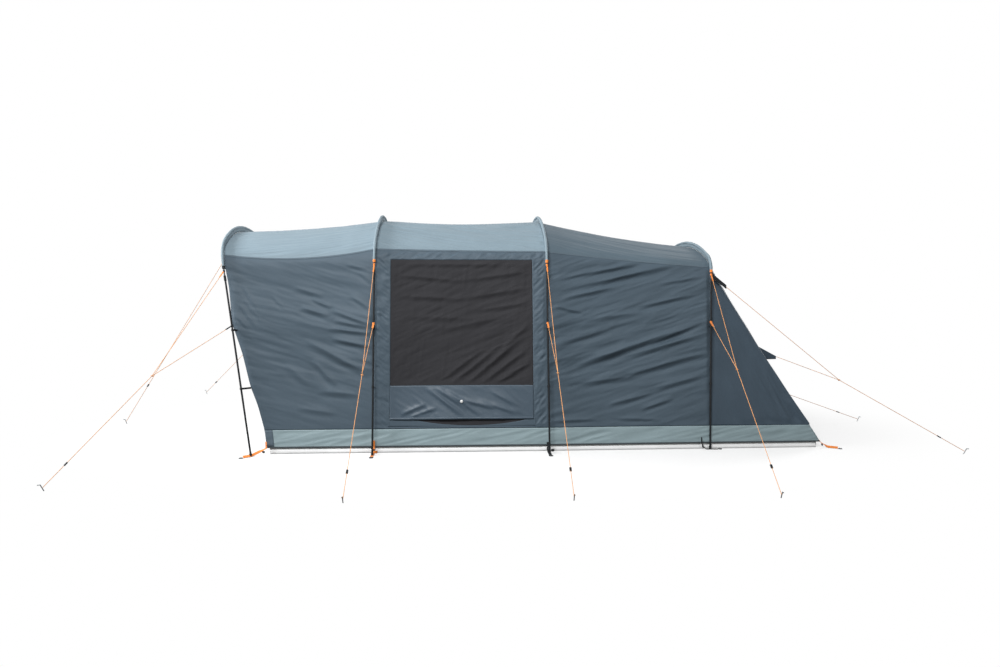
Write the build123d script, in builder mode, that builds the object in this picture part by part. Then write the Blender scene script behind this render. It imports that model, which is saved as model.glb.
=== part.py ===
"""Tunnel tent on four hoop poles, pitched with its guy lines.

+X runs from the door end to the tail, +Y to the far side, +Z up.
The origin is on the ground, under the middle of the groundsheet. Millimetres and degrees.
"""

import os
from dataclasses import dataclass
from math import atan, atan2, cos, degrees, hypot, pi, radians, sin

from build123d import *

os.makedirs("parts", exist_ok=True)

# Places along the tunnel
second_hoop_x = -1117.0
front_bay = 883.0
middle_bay = 1322.0
rear_bay = 1255.0
tail_length = 884.0

# Hoop poles
front_lean = -10.0
rear_lean = 2.0
foot_stand = 85.0  # pole feet outside the hem
rear_foot_stand = 21.0
front_eave_half = 790.0  # where a hoop's straight leg ends
front_eave_height = 1420.0
front_crown = 1772.0
front_shoulder = 290.0
eave_half = 795.0
eave_height = 1450.0
crown_height = 1843.0
shoulder_radius = 280.0
rear_eave_half = 765.0
rear_eave_height = 1380.0
rear_crown = 1633.0
rear_shoulder = 150.0
leg_radius = 7.0
leg_bore = 5.75
rod_radius = 5.5
rod_insert = 70.0
leg_short = 72.0  # bare rod between the leg's top and the shoulder bend
ferrule_length = 40.0
ferrule_wall = 2.0
fit_clearance = 0.2
foot_height = 26.0
foot_wall = 2.5
spigot_length = 30.0
spike_radius = 3.0

# Fly sheet
cloth = 3.0  # thickness of the plain cloth solids
tail_cloth = 6.0
cloth_drop = 40.0  # hoop centre line to the outside of the cloth
bay_sag = 25.0
wall_hollow = 18.0
seam_gap = 0.5
edge_gap = 0.7
hem_half = 965.0
rear_hem_taper = 20.0  # narrower at the fourth hoop, each side
corner_taper = 7.0  # narrower again at the rear corners
tail_taper = 17.0  # and at the skirt's top there
gusset_tip = 6.0
tail_bow = 2.0  # rise of the tail panel's lower edge between its corners
hem_height = 45.0
skirt_height = 130.0
front_hem_setback = 80.3  # front hem behind the first hoop's feet
front_cloth_lean = -12.85
tail_top_setback = 82.0  # tail edge at the skirt's top, ahead of the hem corner

# Pole sleeves
sleeve_radius = 9.5
sleeve_clearance = 0.4
sleeve_end = 15.0  # below the shoulder bend
fin_thickness = 3.0

# Side windows and their flaps
window_left = 121.0  # behind the second hoop
window_width = 1092.0
window_bottom = 195.0
window_top = 1440.0
mesh_thickness = 1.4
mesh_inset = 0.8
mesh_gap = 0.4
flap_top = 497.0
flap_drop = 252.0
flap_stand = 0.7  # clear of the wall at its hinge
flap_lift = 14.0  # clear of the wall at its free edge
flap_folds = 6
flap_fold = 5.0  # how far a fold stands out or in at the free edge

# Front wall and door
door_half = 560.0
door_sill = 120.0
door_spring = 1100.0  # where the door's top arch starts
door_crown = 1520.0
door_gap = 0.5
zip_gap = 1.5
slider_width = 14.0
slider_length = 30.0
slider_thickness = 6.0
slider_gap = 0.5

# Rear vent
vent_half = 380.0
vent_bottom = 610.0
vent_top = 780.0
hood_half = 400.0
hood_hinge = 800.0
hood_reach = 300.0
hood_slope = 28.0
hood_stand = 1.0
hood_lip = 25.0

# Groundsheet
groundsheet_thickness = 2.0
groundsheet_height = 100.0  # of its upright edges
groundsheet_gap = 0.4
groundsheet_rear_gap = 14.0

# Foot straps, buckles and peg rings
strap_width = 24.0
strap_thickness = 2.0
strap_height = 95.0
strap_tail = 60.0
strap_bend = 0.4  # share of the way to the foot where the strap meets the ground
front_strap_setback = 95.0
front_strap_gap = 12.0
rear_strap_setback = -70.0
rear_strap_gap = 22.0
buckle_length = 14.0
buckle_bar = 2.5
buckle_gap = 0.5
ring_bore = 12.0
ring_wall = 4.0
ring_thickness = 5.0
ring_gap = 0.3

# Clips between legs and walls, and guy tabs
clip_heights = (500.0, 945.0)
clip_height = 14.0
clip_wall = 3.0
clip_thickness = 2.0
clip_gap = 1.2
lower_tab_height = 985.0
upper_tab_drop = 35.0
tail_strap_length = 140.0
tab_length = 55.0
tab_width = 12.0
tab_thickness = 2.0
tab_gap = 0.5
tail_tab_height = 400.0

# Guy lines
line_radius = 2.0
link_radius = 7.5
line_gap = 0.5
runner_place = 0.2  # share of the way from the peg to the link
runner_length = 26.0
runner_width = 14.0
runner_thickness = 8.0
runner_hole = 2.6
peg_radius = 3.0
peg_stand = 46.0
peg_lean = 25.0
peg_hook = 16.0
peg_hold = 22.0  # height of the line's end on the peg


@dataclass
class Hoop:
    x: float
    lean: float
    foot: float
    hem: float
    eave: float  # half width where the straight leg ends
    eave_height: float
    height: float
    shoulder: float

    def plane(self):
        return leaning_plane(self.x, self.lean)

    def slope(self):
        return atan2(self.foot - self.eave, self.eave_height)

    def leg_length(self):
        return hypot(self.foot - self.eave, self.eave_height)

    def leg_point(self, along):
        return (self.foot - along * sin(self.slope()), along * cos(self.slope()))


def leaning_plane(x, lean):
    angle = radians(lean)
    return Plane(origin=(x, 0, 0), x_dir=(0, 1, 0), z_dir=(cos(angle), 0, -sin(angle)))


def flip(point):
    return (-point[0], point[1])


def arch(hoop, inset):
    """Eave, shoulder, knee and crown of the hoop's line, moved inwards by inset."""
    start = hoop.slope()
    centre = Vector(hoop.eave - hoop.shoulder * cos(start), hoop.eave_height - hoop.shoulder * sin(start))
    rise = hoop.height - centre.Y - hoop.shoulder
    knee = pi / 2 - 2 * atan(rise / centre.X)
    radius = hoop.shoulder - inset
    turns = (start, (start + knee) / 2, knee)
    points = [(centre.X + radius * cos(turn), centre.Y + radius * sin(turn)) for turn in turns]
    return (*points, (0.0, hoop.height - inset))


def arch_edges(eave, shoulder, knee, crown):
    ThreePointArc(eave, shoulder, knee)
    ThreePointArc(knee, crown, flip(knee))
    ThreePointArc(flip(knee), flip(shoulder), flip(eave))


def save(part, name):
    part.label = name
    export_step(part, f"parts/{name}.step")


def save_group(pieces, name):
    with BuildPart() as group:
        add(pieces)
    save(group.part, name)


def save_pair(near, name):
    save(near, f"near_{name}")
    save(mirror(near, about=Plane.XZ), f"far_{name}")


# The four hoops, front to rear
first_hoop_x = second_hoop_x - front_bay
third_hoop_x = second_hoop_x + middle_bay
fourth_hoop_x = third_hoop_x + rear_bay
corner_x = fourth_hoop_x + tail_length
rear_hem_half = hem_half - rear_hem_taper
corner_half = rear_hem_half - corner_taper
tail_half = corner_half - tail_taper
foot_half = hem_half + foot_stand
rear_foot_half = rear_hem_half + rear_foot_stand
front_arch = (front_eave_half, front_eave_height, front_crown, front_shoulder)
middle_arch = (eave_half, eave_height, crown_height, shoulder_radius)
rear_arch = (rear_eave_half, rear_eave_height, rear_crown, rear_shoulder)
hoops = [
    Hoop(first_hoop_x, front_lean, foot_half, hem_half, *front_arch),
    Hoop(second_hoop_x, 0, foot_half, hem_half, *middle_arch),
    Hoop(third_hoop_x, 0, foot_half, hem_half, *middle_arch),
    Hoop(fourth_hoop_x, rear_lean, rear_foot_half, rear_hem_half, *rear_arch),
]
first, second, third, fourth = hoops


def hoop_rod(hoop):
    eave, shoulder, knee, crown = arch(hoop, 0)
    start = hoop.leg_point(hoop.leg_length() - leg_short - rod_insert)
    with BuildPart() as rod:
        with BuildLine(hoop.plane()) as path:
            Line(start, eave)
            arch_edges(eave, shoulder, knee, crown)
            Line(flip(eave), flip(start))
        with BuildSketch(Plane(origin=path.line @ 0, z_dir=path.line % 0)):
            Circle(rod_radius)
        sweep()
    return rod.part


def leg_plane(hoop, side, along):
    """Plane across a leg, its normal up the leg."""
    plane = hoop.plane()
    foot, tip = hoop.leg_point(along), hoop.leg_point(along + 1)
    low = plane.from_local_coords((side * foot[0], foot[1], 0))
    high = plane.from_local_coords((side * tip[0], tip[1], 0))
    return Plane(origin=low, x_dir=(1, 0, 0), z_dir=high - low)


def collar(plane, length, outer, inner):
    with BuildPart() as ring:
        with BuildSketch(plane):
            Circle(outer)
            Circle(inner, mode=Mode.SUBTRACT)
        extrude(amount=length)
    return ring.part


def pole_foot(hoop, side):
    with BuildPart() as foot:
        with BuildSketch(leg_plane(hoop, side, -foot_height)):
            Circle(leg_radius + foot_wall)
        extrude(amount=2 * foot_height)
        split(bisect_by=Plane.XY.offset(strap_thickness), keep=Keep.TOP)
        with BuildSketch(leg_plane(hoop, side, foot_height)):
            Circle(leg_bore - fit_clearance)
        extrude(amount=spigot_length)
        with Locations((leg_plane(hoop, side, 0).origin.X, side * hoop.foot, 0)):
            Cylinder(spike_radius, foot_height / 2, align=(Align.CENTER, Align.CENTER, Align.MIN))
    return foot.part


ferrules, feet = [], []
for number, hoop in enumerate(hoops, 1):
    leg_top = hoop.leg_length() - leg_short
    legs = []
    for side in (-1, 1):
        legs.append(collar(leg_plane(hoop, side, foot_height), leg_top - foot_height, leg_radius, leg_bore))
        ferrule_inner = leg_radius + fit_clearance
        ferrule_plane = leg_plane(hoop, side, leg_top - ferrule_length)
        ferrules.append(collar(ferrule_plane, ferrule_length, ferrule_inner + ferrule_wall, ferrule_inner))
        feet.append(pole_foot(hoop, side))
    save(hoop_rod(hoop), f"hoop_{number}_rod")
    save_group(legs, f"hoop_{number}_legs")
save_group(ferrules, "pole_ferrules")
save_group(feet, "pole_feet")


# Pole sleeves: a tube round each rod, with a fin down to the roof cloth
def pole_sleeve(hoop):
    eave, shoulder, knee, crown = arch(hoop, 0)
    start = hoop.leg_point(hoop.leg_length() - sleeve_end)
    with BuildPart() as sleeve:
        with BuildLine(hoop.plane()) as path:
            Line(start, eave)
            arch_edges(eave, shoulder, knee, crown)
            Line(flip(eave), flip(start))
        with BuildSketch(Plane(origin=path.line @ 0, z_dir=path.line % 0)):
            Circle(sleeve_radius)
            Circle(rod_radius + sleeve_clearance, mode=Mode.SUBTRACT)
        sweep()
        with BuildSketch(hoop.plane()):
            upper = arch(hoop, (rod_radius + sleeve_radius) / 2)
            lower = arch(hoop, cloth_drop - seam_gap)
            with BuildLine():
                arch_edges(*upper)
                Line(flip(upper[0]), flip(lower[0]))
                arch_edges(*lower)
                Line(lower[0], upper[0])
            make_face()
        extrude(amount=fin_thickness / 2, both=True)
    return sleeve.part


save_group([pole_sleeve(hoop) for hoop in hoops], "pole_sleeves")


@dataclass
class Station:
    """A cross-section of the fly: a plane and the cloth's line in it."""

    plane: Plane
    hoop: Hoop
    drop: float  # hoop line to cloth
    hollow: float  # how far the wall bows in

    def height(self, z):
        return z / self.plane.y_dir.Z

    def wall_line(self):
        eave = Vector(*arch(self.hoop, self.drop)[0])
        hem = Vector(self.hoop.hem, self.height(hem_height))
        return eave, hem

    def wall_point(self, z, inset=0.0):
        """A point on the near wall's outside, in the plane's own axes."""
        eave, hem = self.wall_line()
        along = (hem - eave).normalized()
        share = (self.height(z) - eave.Y) / (hem.Y - eave.Y)
        inward = Vector(along.Y, -along.X)
        return eave + (hem - eave) * share + inward * inset


    def inside(self, z, inset):
        """Half width at a height, a distance inside the wall's outside."""
        eave, hem = self.wall_line()
        return self.wall_point(z).X + inset / (hem - eave).normalized().Y


def between(a, b):
    """The hoop's line half way along a bay."""
    def middle(name):
        return (getattr(a, name) + getattr(b, name)) / 2
    names = ("x", "lean", "foot", "hem", "eave", "eave_height", "height", "shoulder")
    return Hoop(*(middle(name) for name in names))


def bay_stations(front, rear):
    centre = between(front.hoop, rear.hoop)
    angle = (front.plane.z_dir + rear.plane.z_dir).normalized()
    origin = (front.plane.origin + rear.plane.origin) / 2
    plane = Plane(origin=origin, x_dir=(0, 1, 0), z_dir=angle)
    return [front, Station(plane, centre, cloth_drop + bay_sag, wall_hollow), rear]


front_hem_x = first_hoop_x + front_hem_setback
front_station = Station(leaning_plane(front_hem_x, front_cloth_lean), first, cloth_drop, 0)
second_station, third_station, fourth_station = (
    Station(hoop.plane(), hoop, cloth_drop, 0) for hoop in (second, third, fourth)
)
bays = {
    "front": bay_stations(front_station, second_station),
    "middle": bay_stations(second_station, third_station),
    "rear": bay_stations(third_station, fourth_station),
}


def roof_section(station):
    outer = arch(station.hoop, station.drop)
    inner = arch(station.hoop, station.drop + cloth)
    with BuildSketch(station.plane) as section:
        with BuildLine():
            arch_edges(*outer)
            Line(flip(outer[0]), flip(inner[0]))
            arch_edges(*inner)
            Line(inner[0], outer[0])
        make_face()
    return section.sketch


def wall_section(station, low, high, inset=0.0, thickness=cloth):
    """A strip of near wall between two heights, or up to the eave seam."""
    eave = station.wall_line()[0]
    top = high if high else (eave.Y - seam_gap) * station.plane.y_dir.Z
    mid = (low + top) / 2
    outer = [station.wall_point(z, inset) for z in (top, mid, low)]
    inner = [station.wall_point(z, inset + thickness) for z in (top, mid, low)]
    bow = Vector(-station.hollow, 0)
    with BuildSketch(station.plane) as section:
        with BuildLine():
            corners = [flip((p.X, p.Y)) for p in (outer[0], outer[1] + bow, outer[2])]
            backs = [flip((p.X, p.Y)) for p in (inner[0], inner[1] + bow, inner[2])]
            if station.hollow:
                ThreePointArc(*corners)
                ThreePointArc(*backs)
            else:
                Line(corners[0], corners[2])
                Line(backs[0], backs[2])
            Line(corners[2], backs[2])
            Line(backs[0], corners[0])
        make_face()
    return section.sketch


# Roof and wall panels of the three bays
skirt_top = hem_height + skirt_height
window_start = second_hoop_x + window_left
window_centre = (window_start + window_width / 2, (window_bottom + window_top) / 2)
for bay, stations in bays.items():
    roof_sections = [roof_section(station) for station in stations]
    with BuildPart() as roof:
        loft(roof_sections)
    save(roof.part, f"roof_{bay}")
    wall_sections = [wall_section(station, skirt_top + seam_gap, None) for station in stations]
    with BuildPart() as wall:
        loft(wall_sections)
        if bay == "middle":
            with BuildSketch(Plane.XZ):
                with Locations(window_centre):
                    Rectangle(window_width, window_top - window_bottom)
            extrude(amount=foot_half, mode=Mode.SUBTRACT)
    save_pair(wall.part, f"wall_{bay}")

# Mesh windows, sewn into the openings of the middle bay
mesh_sections = [
    wall_section(station, skirt_top + seam_gap, None, mesh_inset, mesh_thickness) for station in bays["middle"]
]
with BuildPart() as window:
    loft(mesh_sections)
    with BuildSketch(Plane.XZ):
        with Locations(window_centre):
            Rectangle(window_width - 2 * mesh_gap, window_top - window_bottom - 2 * mesh_gap)
    extrude(amount=foot_half, mode=Mode.INTERSECT)
save_pair(window.part, "window")


# Flaps over the foot of each window, hinged along their top edge
def middle_wall(x, z):
    """Half width of the middle bay's wall, which bows in between its hoops."""
    edge, middle = (station.wall_point(z).X for station in bays["middle"][:2])
    top = bays["middle"][1].wall_line()[0].Y - seam_gap
    centre = (skirt_top + seam_gap + top) / 2
    middle -= wall_hollow * (1 - ((z - centre) / (top - centre)) ** 2)
    share = (x - second_hoop_x) / middle_bay
    return edge - (edge - middle) * 4 * share * (1 - share)


def flap_section(z, stand, fold):
    """A strip of the flap at one height, with a fold in and out along it."""
    def points(thickness):
        line = []
        for number in range(2 * flap_folds + 1):
            x = window_start + window_width * number / (2 * flap_folds)
            swing = fold * sin(pi * number / 2)
            line.append((x, -(middle_wall(x, z) + stand + thickness + swing)))
        return line

    inner, outer = points(0), points(cloth)
    with BuildSketch(Plane.XY.offset(z)) as section:
        with BuildLine():
            for line in (inner, outer):
                for number in range(0, 2 * flap_folds, 2):
                    ThreePointArc(*line[number : number + 3])
            Line(inner[0], outer[0])
            Line(inner[-1], outer[-1])
        make_face()
    return section.sketch


flap_sections = [flap_section(flap_top, flap_stand, 0), flap_section(flap_top - flap_drop, flap_lift, flap_fold)]
flap_hinge_y = -(middle_wall(window_start, flap_top) + flap_stand)
with BuildPart() as flap:
    loft(flap_sections, ruled=True)
save_pair(flap.part, "vent_flap")


# The tail behind the fourth hoop, and the skirts along the hem
tail_x = corner_x - tail_top_setback
tail_slope = degrees(atan2(tail_top_setback, skirt_height))
hem_corner_plane = leaning_plane(corner_x + hem_height * tail_top_setback / skirt_height, -tail_slope)
tail_plane = leaning_plane(tail_x, 0)


def polygon(plane, corners):
    with BuildSketch(plane) as section:
        with BuildLine():
            Polyline(*corners, close=True)
        make_face()
    return section.sketch


def corner_height(z):
    return z / hem_corner_plane.y_dir.Z


skirt_stations = (front_station, second_station, third_station, fourth_station)
skirt_sections = [wall_section(station, hem_height, skirt_top) for station in skirt_stations]
skirt_sections.append(
    polygon(
        hem_corner_plane,
        [
            (-tail_half, corner_height(skirt_top)),
            (-corner_half, corner_height(hem_height)),
            (cloth - corner_half, corner_height(hem_height)),
            (cloth - tail_half, corner_height(skirt_top)),
        ],
    )
)
with BuildPart() as skirt:
    loft(skirt_sections, ruled=True)
save_pair(skirt.part, "skirt")

with BuildPart() as rear_skirt:
    with BuildSketch(hem_corner_plane):
        with BuildLine():
            inner_corner = corner_half - cloth - edge_gap
            inner_tail = tail_half - cloth - edge_gap
            Polyline(
                (-inner_corner, corner_height(hem_height)),
                (inner_corner, corner_height(hem_height)),
                (inner_tail, corner_height(skirt_top)),
                (-inner_tail, corner_height(skirt_top)),
                close=True,
            )
        make_face()
    extrude(amount=-cloth)
save(rear_skirt.part, "rear_skirt")

gusset_low = skirt_top + seam_gap
gusset_high = skirt_top + gusset_tip
gusset_sections = [
    wall_section(fourth_station, gusset_low, None),
    polygon(
        tail_plane,
        [
            (-tail_half, gusset_high),
            (-tail_half, gusset_low),
            (cloth - tail_half, gusset_low),
            (cloth - tail_half, gusset_high),
        ],
    ),
]
with BuildPart() as gusset:
    loft(gusset_sections, ruled=True)
save_pair(gusset.part, "tail_gusset")


def tail_section_pair(inset, thickness):
    """The tail panel's upper edge along the hoop and its lower edge along the skirt."""
    outer = arch(fourth, cloth_drop + inset)
    inner = arch(fourth, cloth_drop + inset + thickness)
    knee = outer[2][0] / outer[0][0]
    low = gusset_high + seam_gap + tail_cloth - inset - thickness
    high = low + thickness
    with BuildSketch(fourth.plane()) as upper:
        with BuildLine():
            arch_edges(*outer)
            Line(flip(outer[0]), flip(inner[0]))
            arch_edges(*inner)
            Line(inner[0], outer[0])
        make_face()
    far, back = tail_half - inset, tail_half - inset - thickness
    top_edge = [(far, high), (knee * far, high + tail_bow), (-knee * far, high + tail_bow), (-far, high)]
    low_edge = [(-back, low), (-knee * back, low + tail_bow), (knee * back, low + tail_bow), (back, low)]
    return [upper.sketch, polygon(tail_plane, top_edge + low_edge)]


vent_centre = (0, (vent_bottom + vent_top) / 2)
tail_sections = tail_section_pair(0, tail_cloth)
with BuildPart() as rear_panel:
    loft(tail_sections, ruled=True)
    with BuildSketch(Plane.YZ):
        with Locations(vent_centre):
            Rectangle(2 * vent_half, vent_top - vent_bottom)
    extrude(amount=corner_x, mode=Mode.SUBTRACT)
save(rear_panel.part, "rear_panel")

vent_sections = tail_section_pair(2 * mesh_inset, 2 * mesh_thickness)
with BuildPart() as vent_mesh:
    loft(vent_sections, ruled=True)
    with BuildSketch(Plane.YZ):
        with Locations(vent_centre):
            Rectangle(2 * (vent_half - mesh_gap), vent_top - vent_bottom - 2 * mesh_gap)
    extrude(amount=corner_x, mode=Mode.INTERSECT)
save(vent_mesh.part, "rear_vent_mesh")


def tail_surface_x(z):
    """Outside of the tail panel on the middle plane."""
    crown = fourth.plane().from_local_coords((0, fourth.height - cloth_drop, 0))
    foot_z = gusset_high + seam_gap + tail_cloth
    share = (crown.Z - z) / (crown.Z - foot_z)
    return crown.X + (tail_x - crown.X) * share


# Vent hood, hinged along its upper edge over the vent
hinge = Vector(tail_surface_x(hood_hinge) + hood_stand, hood_hinge)
hood_run = Vector(cos(radians(hood_slope)), -sin(radians(hood_slope)))
hood_up = Vector(-hood_run.Y, hood_run.X)
hood_edge = hinge + hood_run * hood_reach
with BuildPart() as hood:
    with BuildSketch(Plane.XZ):
        with BuildLine():
            outline = [
                hinge,
                hood_edge,
                hood_edge - Vector(0, hood_lip),
                hood_edge + Vector(cloth, -hood_lip),
                hood_edge + hood_run * cloth + hood_up * cloth,
                hinge + hood_up * cloth,
            ]
            Polyline(*[(point.X, point.Y) for point in outline], close=True)
        make_face()
    extrude(amount=hood_half, both=True)
save(hood.part, "rear_vent_hood")

# Front wall, with a doorway closed by two leaves that meet at a zip
wall_foot = front_station.wall_point(hem_height, cloth + edge_gap)
with BuildPart() as front_wall:
    with BuildSketch(front_station.plane):
        with BuildLine():
            edge = arch(first, cloth_drop + cloth + edge_gap)
            arch_edges(*edge)
            Polyline(flip(edge[0]), (-wall_foot.X, wall_foot.Y), (wall_foot.X, wall_foot.Y), edge[0])
        make_face()
        with BuildLine():
            Polyline((-door_half, door_spring), (-door_half, door_sill), (door_half, door_sill), (door_half, door_spring))
            ThreePointArc((door_half, door_spring), (0, door_crown), (-door_half, door_spring))
        make_face(mode=Mode.SUBTRACT)
    extrude(amount=cloth)
save(front_wall.part, "front_wall")

leaf_half = door_half - door_gap
leaf_sill = door_sill + door_gap
with BuildPart() as leaf:
    with BuildSketch(front_station.plane):
        with BuildLine():
            Polyline((-leaf_half, door_spring), (-leaf_half, leaf_sill), (leaf_half, leaf_sill), (leaf_half, door_spring))
            ThreePointArc((leaf_half, door_spring), (0, door_crown - door_gap), (-leaf_half, door_spring))
        make_face()
        with Locations((-zip_gap, 0)):
            side = (Align.MIN, Align.CENTER)
            Rectangle(2 * door_half, 3 * door_crown, align=side, mode=Mode.SUBTRACT)
    extrude(amount=cloth)
save_pair(leaf.part, "door_leaf")

slider_u = -zip_gap - slider_width
slider_v = leaf_sill + slider_length
with BuildPart() as slider:
    with BuildSketch(front_station.plane.offset(-slider_gap)):
        with Locations((slider_u, slider_v)):
            RectangleRounded(slider_width, slider_length, slider_width / 3)
    extrude(amount=-slider_thickness)
save(slider.part, "door_zip_slider")

# Groundsheet: a tub whose upright edges stand just inside the skirts
tub_inset = cloth + groundsheet_gap


def rear_inside(z, inset):
    return corner_half + (hem_height - z) * (corner_half - tail_half) / skirt_height - inset


def tub_corners(plane, inside, inset, floor):
    """Top and bottom corners of the tub's section, near side first."""
    def corner(z):
        return inside(z, inset), (z - plane.origin.Z) / plane.y_dir.Z
    top, low = corner(groundsheet_height), corner(floor)
    return [flip(top), flip(low), low, top]


def tub_block(inset, floor):
    """The space inside the skirts, from the floor to the tub's edge."""
    places = [(station.plane, station.inside) for station in skirt_stations]
    places.append((hem_corner_plane, rear_inside))
    sections = [polygon(plane, tub_corners(plane, inside, inset, floor)) for plane, inside in places]
    with BuildPart() as block:
        loft(sections, ruled=True)
        split(bisect_by=front_station.plane.offset(inset), keep=Keep.TOP)
        split(bisect_by=hem_corner_plane.offset(-inset - groundsheet_rear_gap), keep=Keep.BOTTOM)
    return block.part


with BuildPart() as groundsheet:
    add(tub_block(tub_inset, 0))
    add(tub_block(tub_inset + groundsheet_thickness, groundsheet_thickness), mode=Mode.SUBTRACT)
save(groundsheet.part, "groundsheet")


# Straps from the hem to the pole feet, and out to the peg rings
@dataclass
class Strap:
    start: Vector  # at the hem
    foot: Vector  # where the pole's spike goes through
    eyelet: bool

    def reach(self):
        return (self.foot - self.start).length

    def plane(self):
        along = (self.foot - self.start).normalized()
        return Plane(origin=self.start, x_dir=along, z_dir=along.cross(Vector(0, 0, 1)))

    def bend(self):
        return strap_bend * self.reach()

    def solid(self):
        end = self.reach() + strap_tail
        front = edge_gap + strap_thickness
        upper = [(front, strap_height), (front, hem_height), (self.bend(), strap_thickness), (end, strap_thickness)]
        lower = [(end, 0), (self.bend() - strap_thickness, 0), (edge_gap, hem_height), (edge_gap, strap_height)]
        with BuildPart() as strap:
            with BuildSketch(self.plane()):
                with BuildLine():
                    Polyline(*upper, *lower, close=True)
                make_face()
            extrude(amount=strap_width / 2, both=True)
            if self.eyelet:
                with Locations((self.foot.X, self.foot.Y, 0)):
                    Cylinder(spike_radius + buckle_gap, foot_height, mode=Mode.SUBTRACT)
        return strap.part

    def buckle(self):
        run = Vector(self.bend() - edge_gap - strap_thickness, strap_thickness - hem_height)
        middle = Vector((edge_gap + self.bend()) / 2, (hem_height + strap_thickness) / 2 - strap_thickness / 2)
        place = Location((middle.X, middle.Y, 0), (0, 0, degrees(atan2(run.Y, run.X))))
        slot = 2 * strap_thickness
        with BuildPart() as buckle:
            with BuildSketch(self.plane()):
                with Locations(place):
                    Rectangle(buckle_length, slot + 2 * buckle_bar)
            extrude(amount=strap_width / 2 + buckle_gap + buckle_bar, both=True)
            with BuildSketch(self.plane()):
                with Locations(place):
                    Rectangle(3 * buckle_length, slot)
            extrude(amount=strap_width / 2 + buckle_gap, both=True, mode=Mode.SUBTRACT)
        return buckle.part

    def ring_centre(self):
        along = (self.foot - self.start).normalized()
        return self.foot + along * (strap_tail + ring_gap + ring_bore + ring_wall)

    def ring(self):
        return collar(Plane(origin=self.ring_centre()), ring_thickness, ring_bore + ring_wall, ring_bore)


straps = []
for side in (-1, 1):
    for hoop in hoops:
        foot = Vector(hoop.x, side * hoop.foot)
        start = Vector(hoop.x, side * hoop.hem)
        if hoop is first:
            start = Vector(hoop.x + front_strap_setback, side * (hoop.hem + front_strap_gap))
        if hoop is fourth:
            start = Vector(hoop.x + rear_strap_setback, side * (hoop.hem + rear_strap_gap))
        straps.append(Strap(start, foot, True))
    corner = Vector(corner_x, side * corner_half)
    straps.append(Strap(corner, corner + Vector(strap_tail, side * strap_tail / 2), False))
save_group([strap.solid() for strap in straps], "foot_straps")
save_group([strap.buckle() for strap in straps], "foot_buckles")
save_group([strap.ring() for strap in straps], "peg_rings")


# Clips that tie the walls to the legs
def pole_clip(hoop, station, side, height):
    across = leg_plane(hoop, side, height)
    point = station.wall_point(across.origin.Z)
    wall = station.plane.from_local_coords((side * point.X, point.Y, 0))
    toward = wall - across.origin
    plane = Plane(origin=across.origin, x_dir=toward, z_dir=across.z_dir)
    start = leg_radius + clip_wall / 2
    with BuildPart() as clip:
        with BuildSketch(plane):
            Circle(leg_radius + clip_wall)
            with Locations((start, 0)):
                Rectangle(toward.length - clip_gap - start, clip_thickness, align=(Align.MIN, Align.CENTER))
            Circle(leg_radius + fit_clearance, mode=Mode.SUBTRACT)
        extrude(amount=clip_height)
    return clip.part


clip_stations = (front_station, second_station, third_station, fourth_station)
clips = [
    pole_clip(hoop, station, side, height)
    for hoop, station in zip(hoops, clip_stations)
    for side in (-1, 1)
    for height in clip_heights
]
save_group(clips, "pole_clips")


# Guy lines: cloth tabs on the poles, lines, links, runners and pegs
def webbing_tab(anchor, target, start, length, flat):
    along = (target - anchor).normalized()
    level = along.cross(Vector(0, 0, 1)).normalized()
    normal = level.cross(along) if flat else level
    with BuildPart() as tab:
        with BuildSketch(Plane(origin=anchor, x_dir=along, z_dir=normal)):
            with Locations((start, 0)):
                Rectangle(length, tab_width, align=(Align.MIN, Align.CENTER))
        extrude(amount=tab_thickness / 2, both=True)
    return tab.part


def straight_line(start, end):
    with BuildPart() as line:
        with BuildSketch(Plane(origin=start, z_dir=end - start)):
            Circle(line_radius)
        extrude(amount=(end - start).length)
    return line.part


def clear_of_bar(radius, half, turn):
    """How far from a round bar's axis a square end of that half width stays clear of it."""
    return (radius + half * abs(cos(radians(turn)))) / sin(radians(turn))


def step(start, target, distance):
    return start + (target - start).normalized() * distance


@dataclass
class Peg:
    place: Vector
    link: Vector  # where the line to it comes from

    def axis(self):
        away = Vector(self.place.X - self.link.X, self.place.Y - self.link.Y).normalized()
        return away * sin(radians(peg_lean)) + Vector(0, 0, cos(radians(peg_lean)))

    def hold(self):
        return self.place + self.axis() * peg_hold

    def solid(self):
        top = self.place + self.axis() * peg_stand
        away = Vector(self.axis().X, self.axis().Y).normalized()
        with BuildPart() as peg:
            with BuildSketch(Plane(origin=self.place - self.axis() * peg_hold, z_dir=self.axis())):
                Circle(peg_radius)
            extrude(amount=peg_stand + peg_hold)
            with BuildSketch(Plane(origin=top, z_dir=away)):
                Circle(peg_radius)
            extrude(amount=peg_hook)
            with Locations(top):
                Sphere(peg_radius)
            split(bisect_by=Plane.XY, keep=Keep.TOP)
        return peg.part


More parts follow.
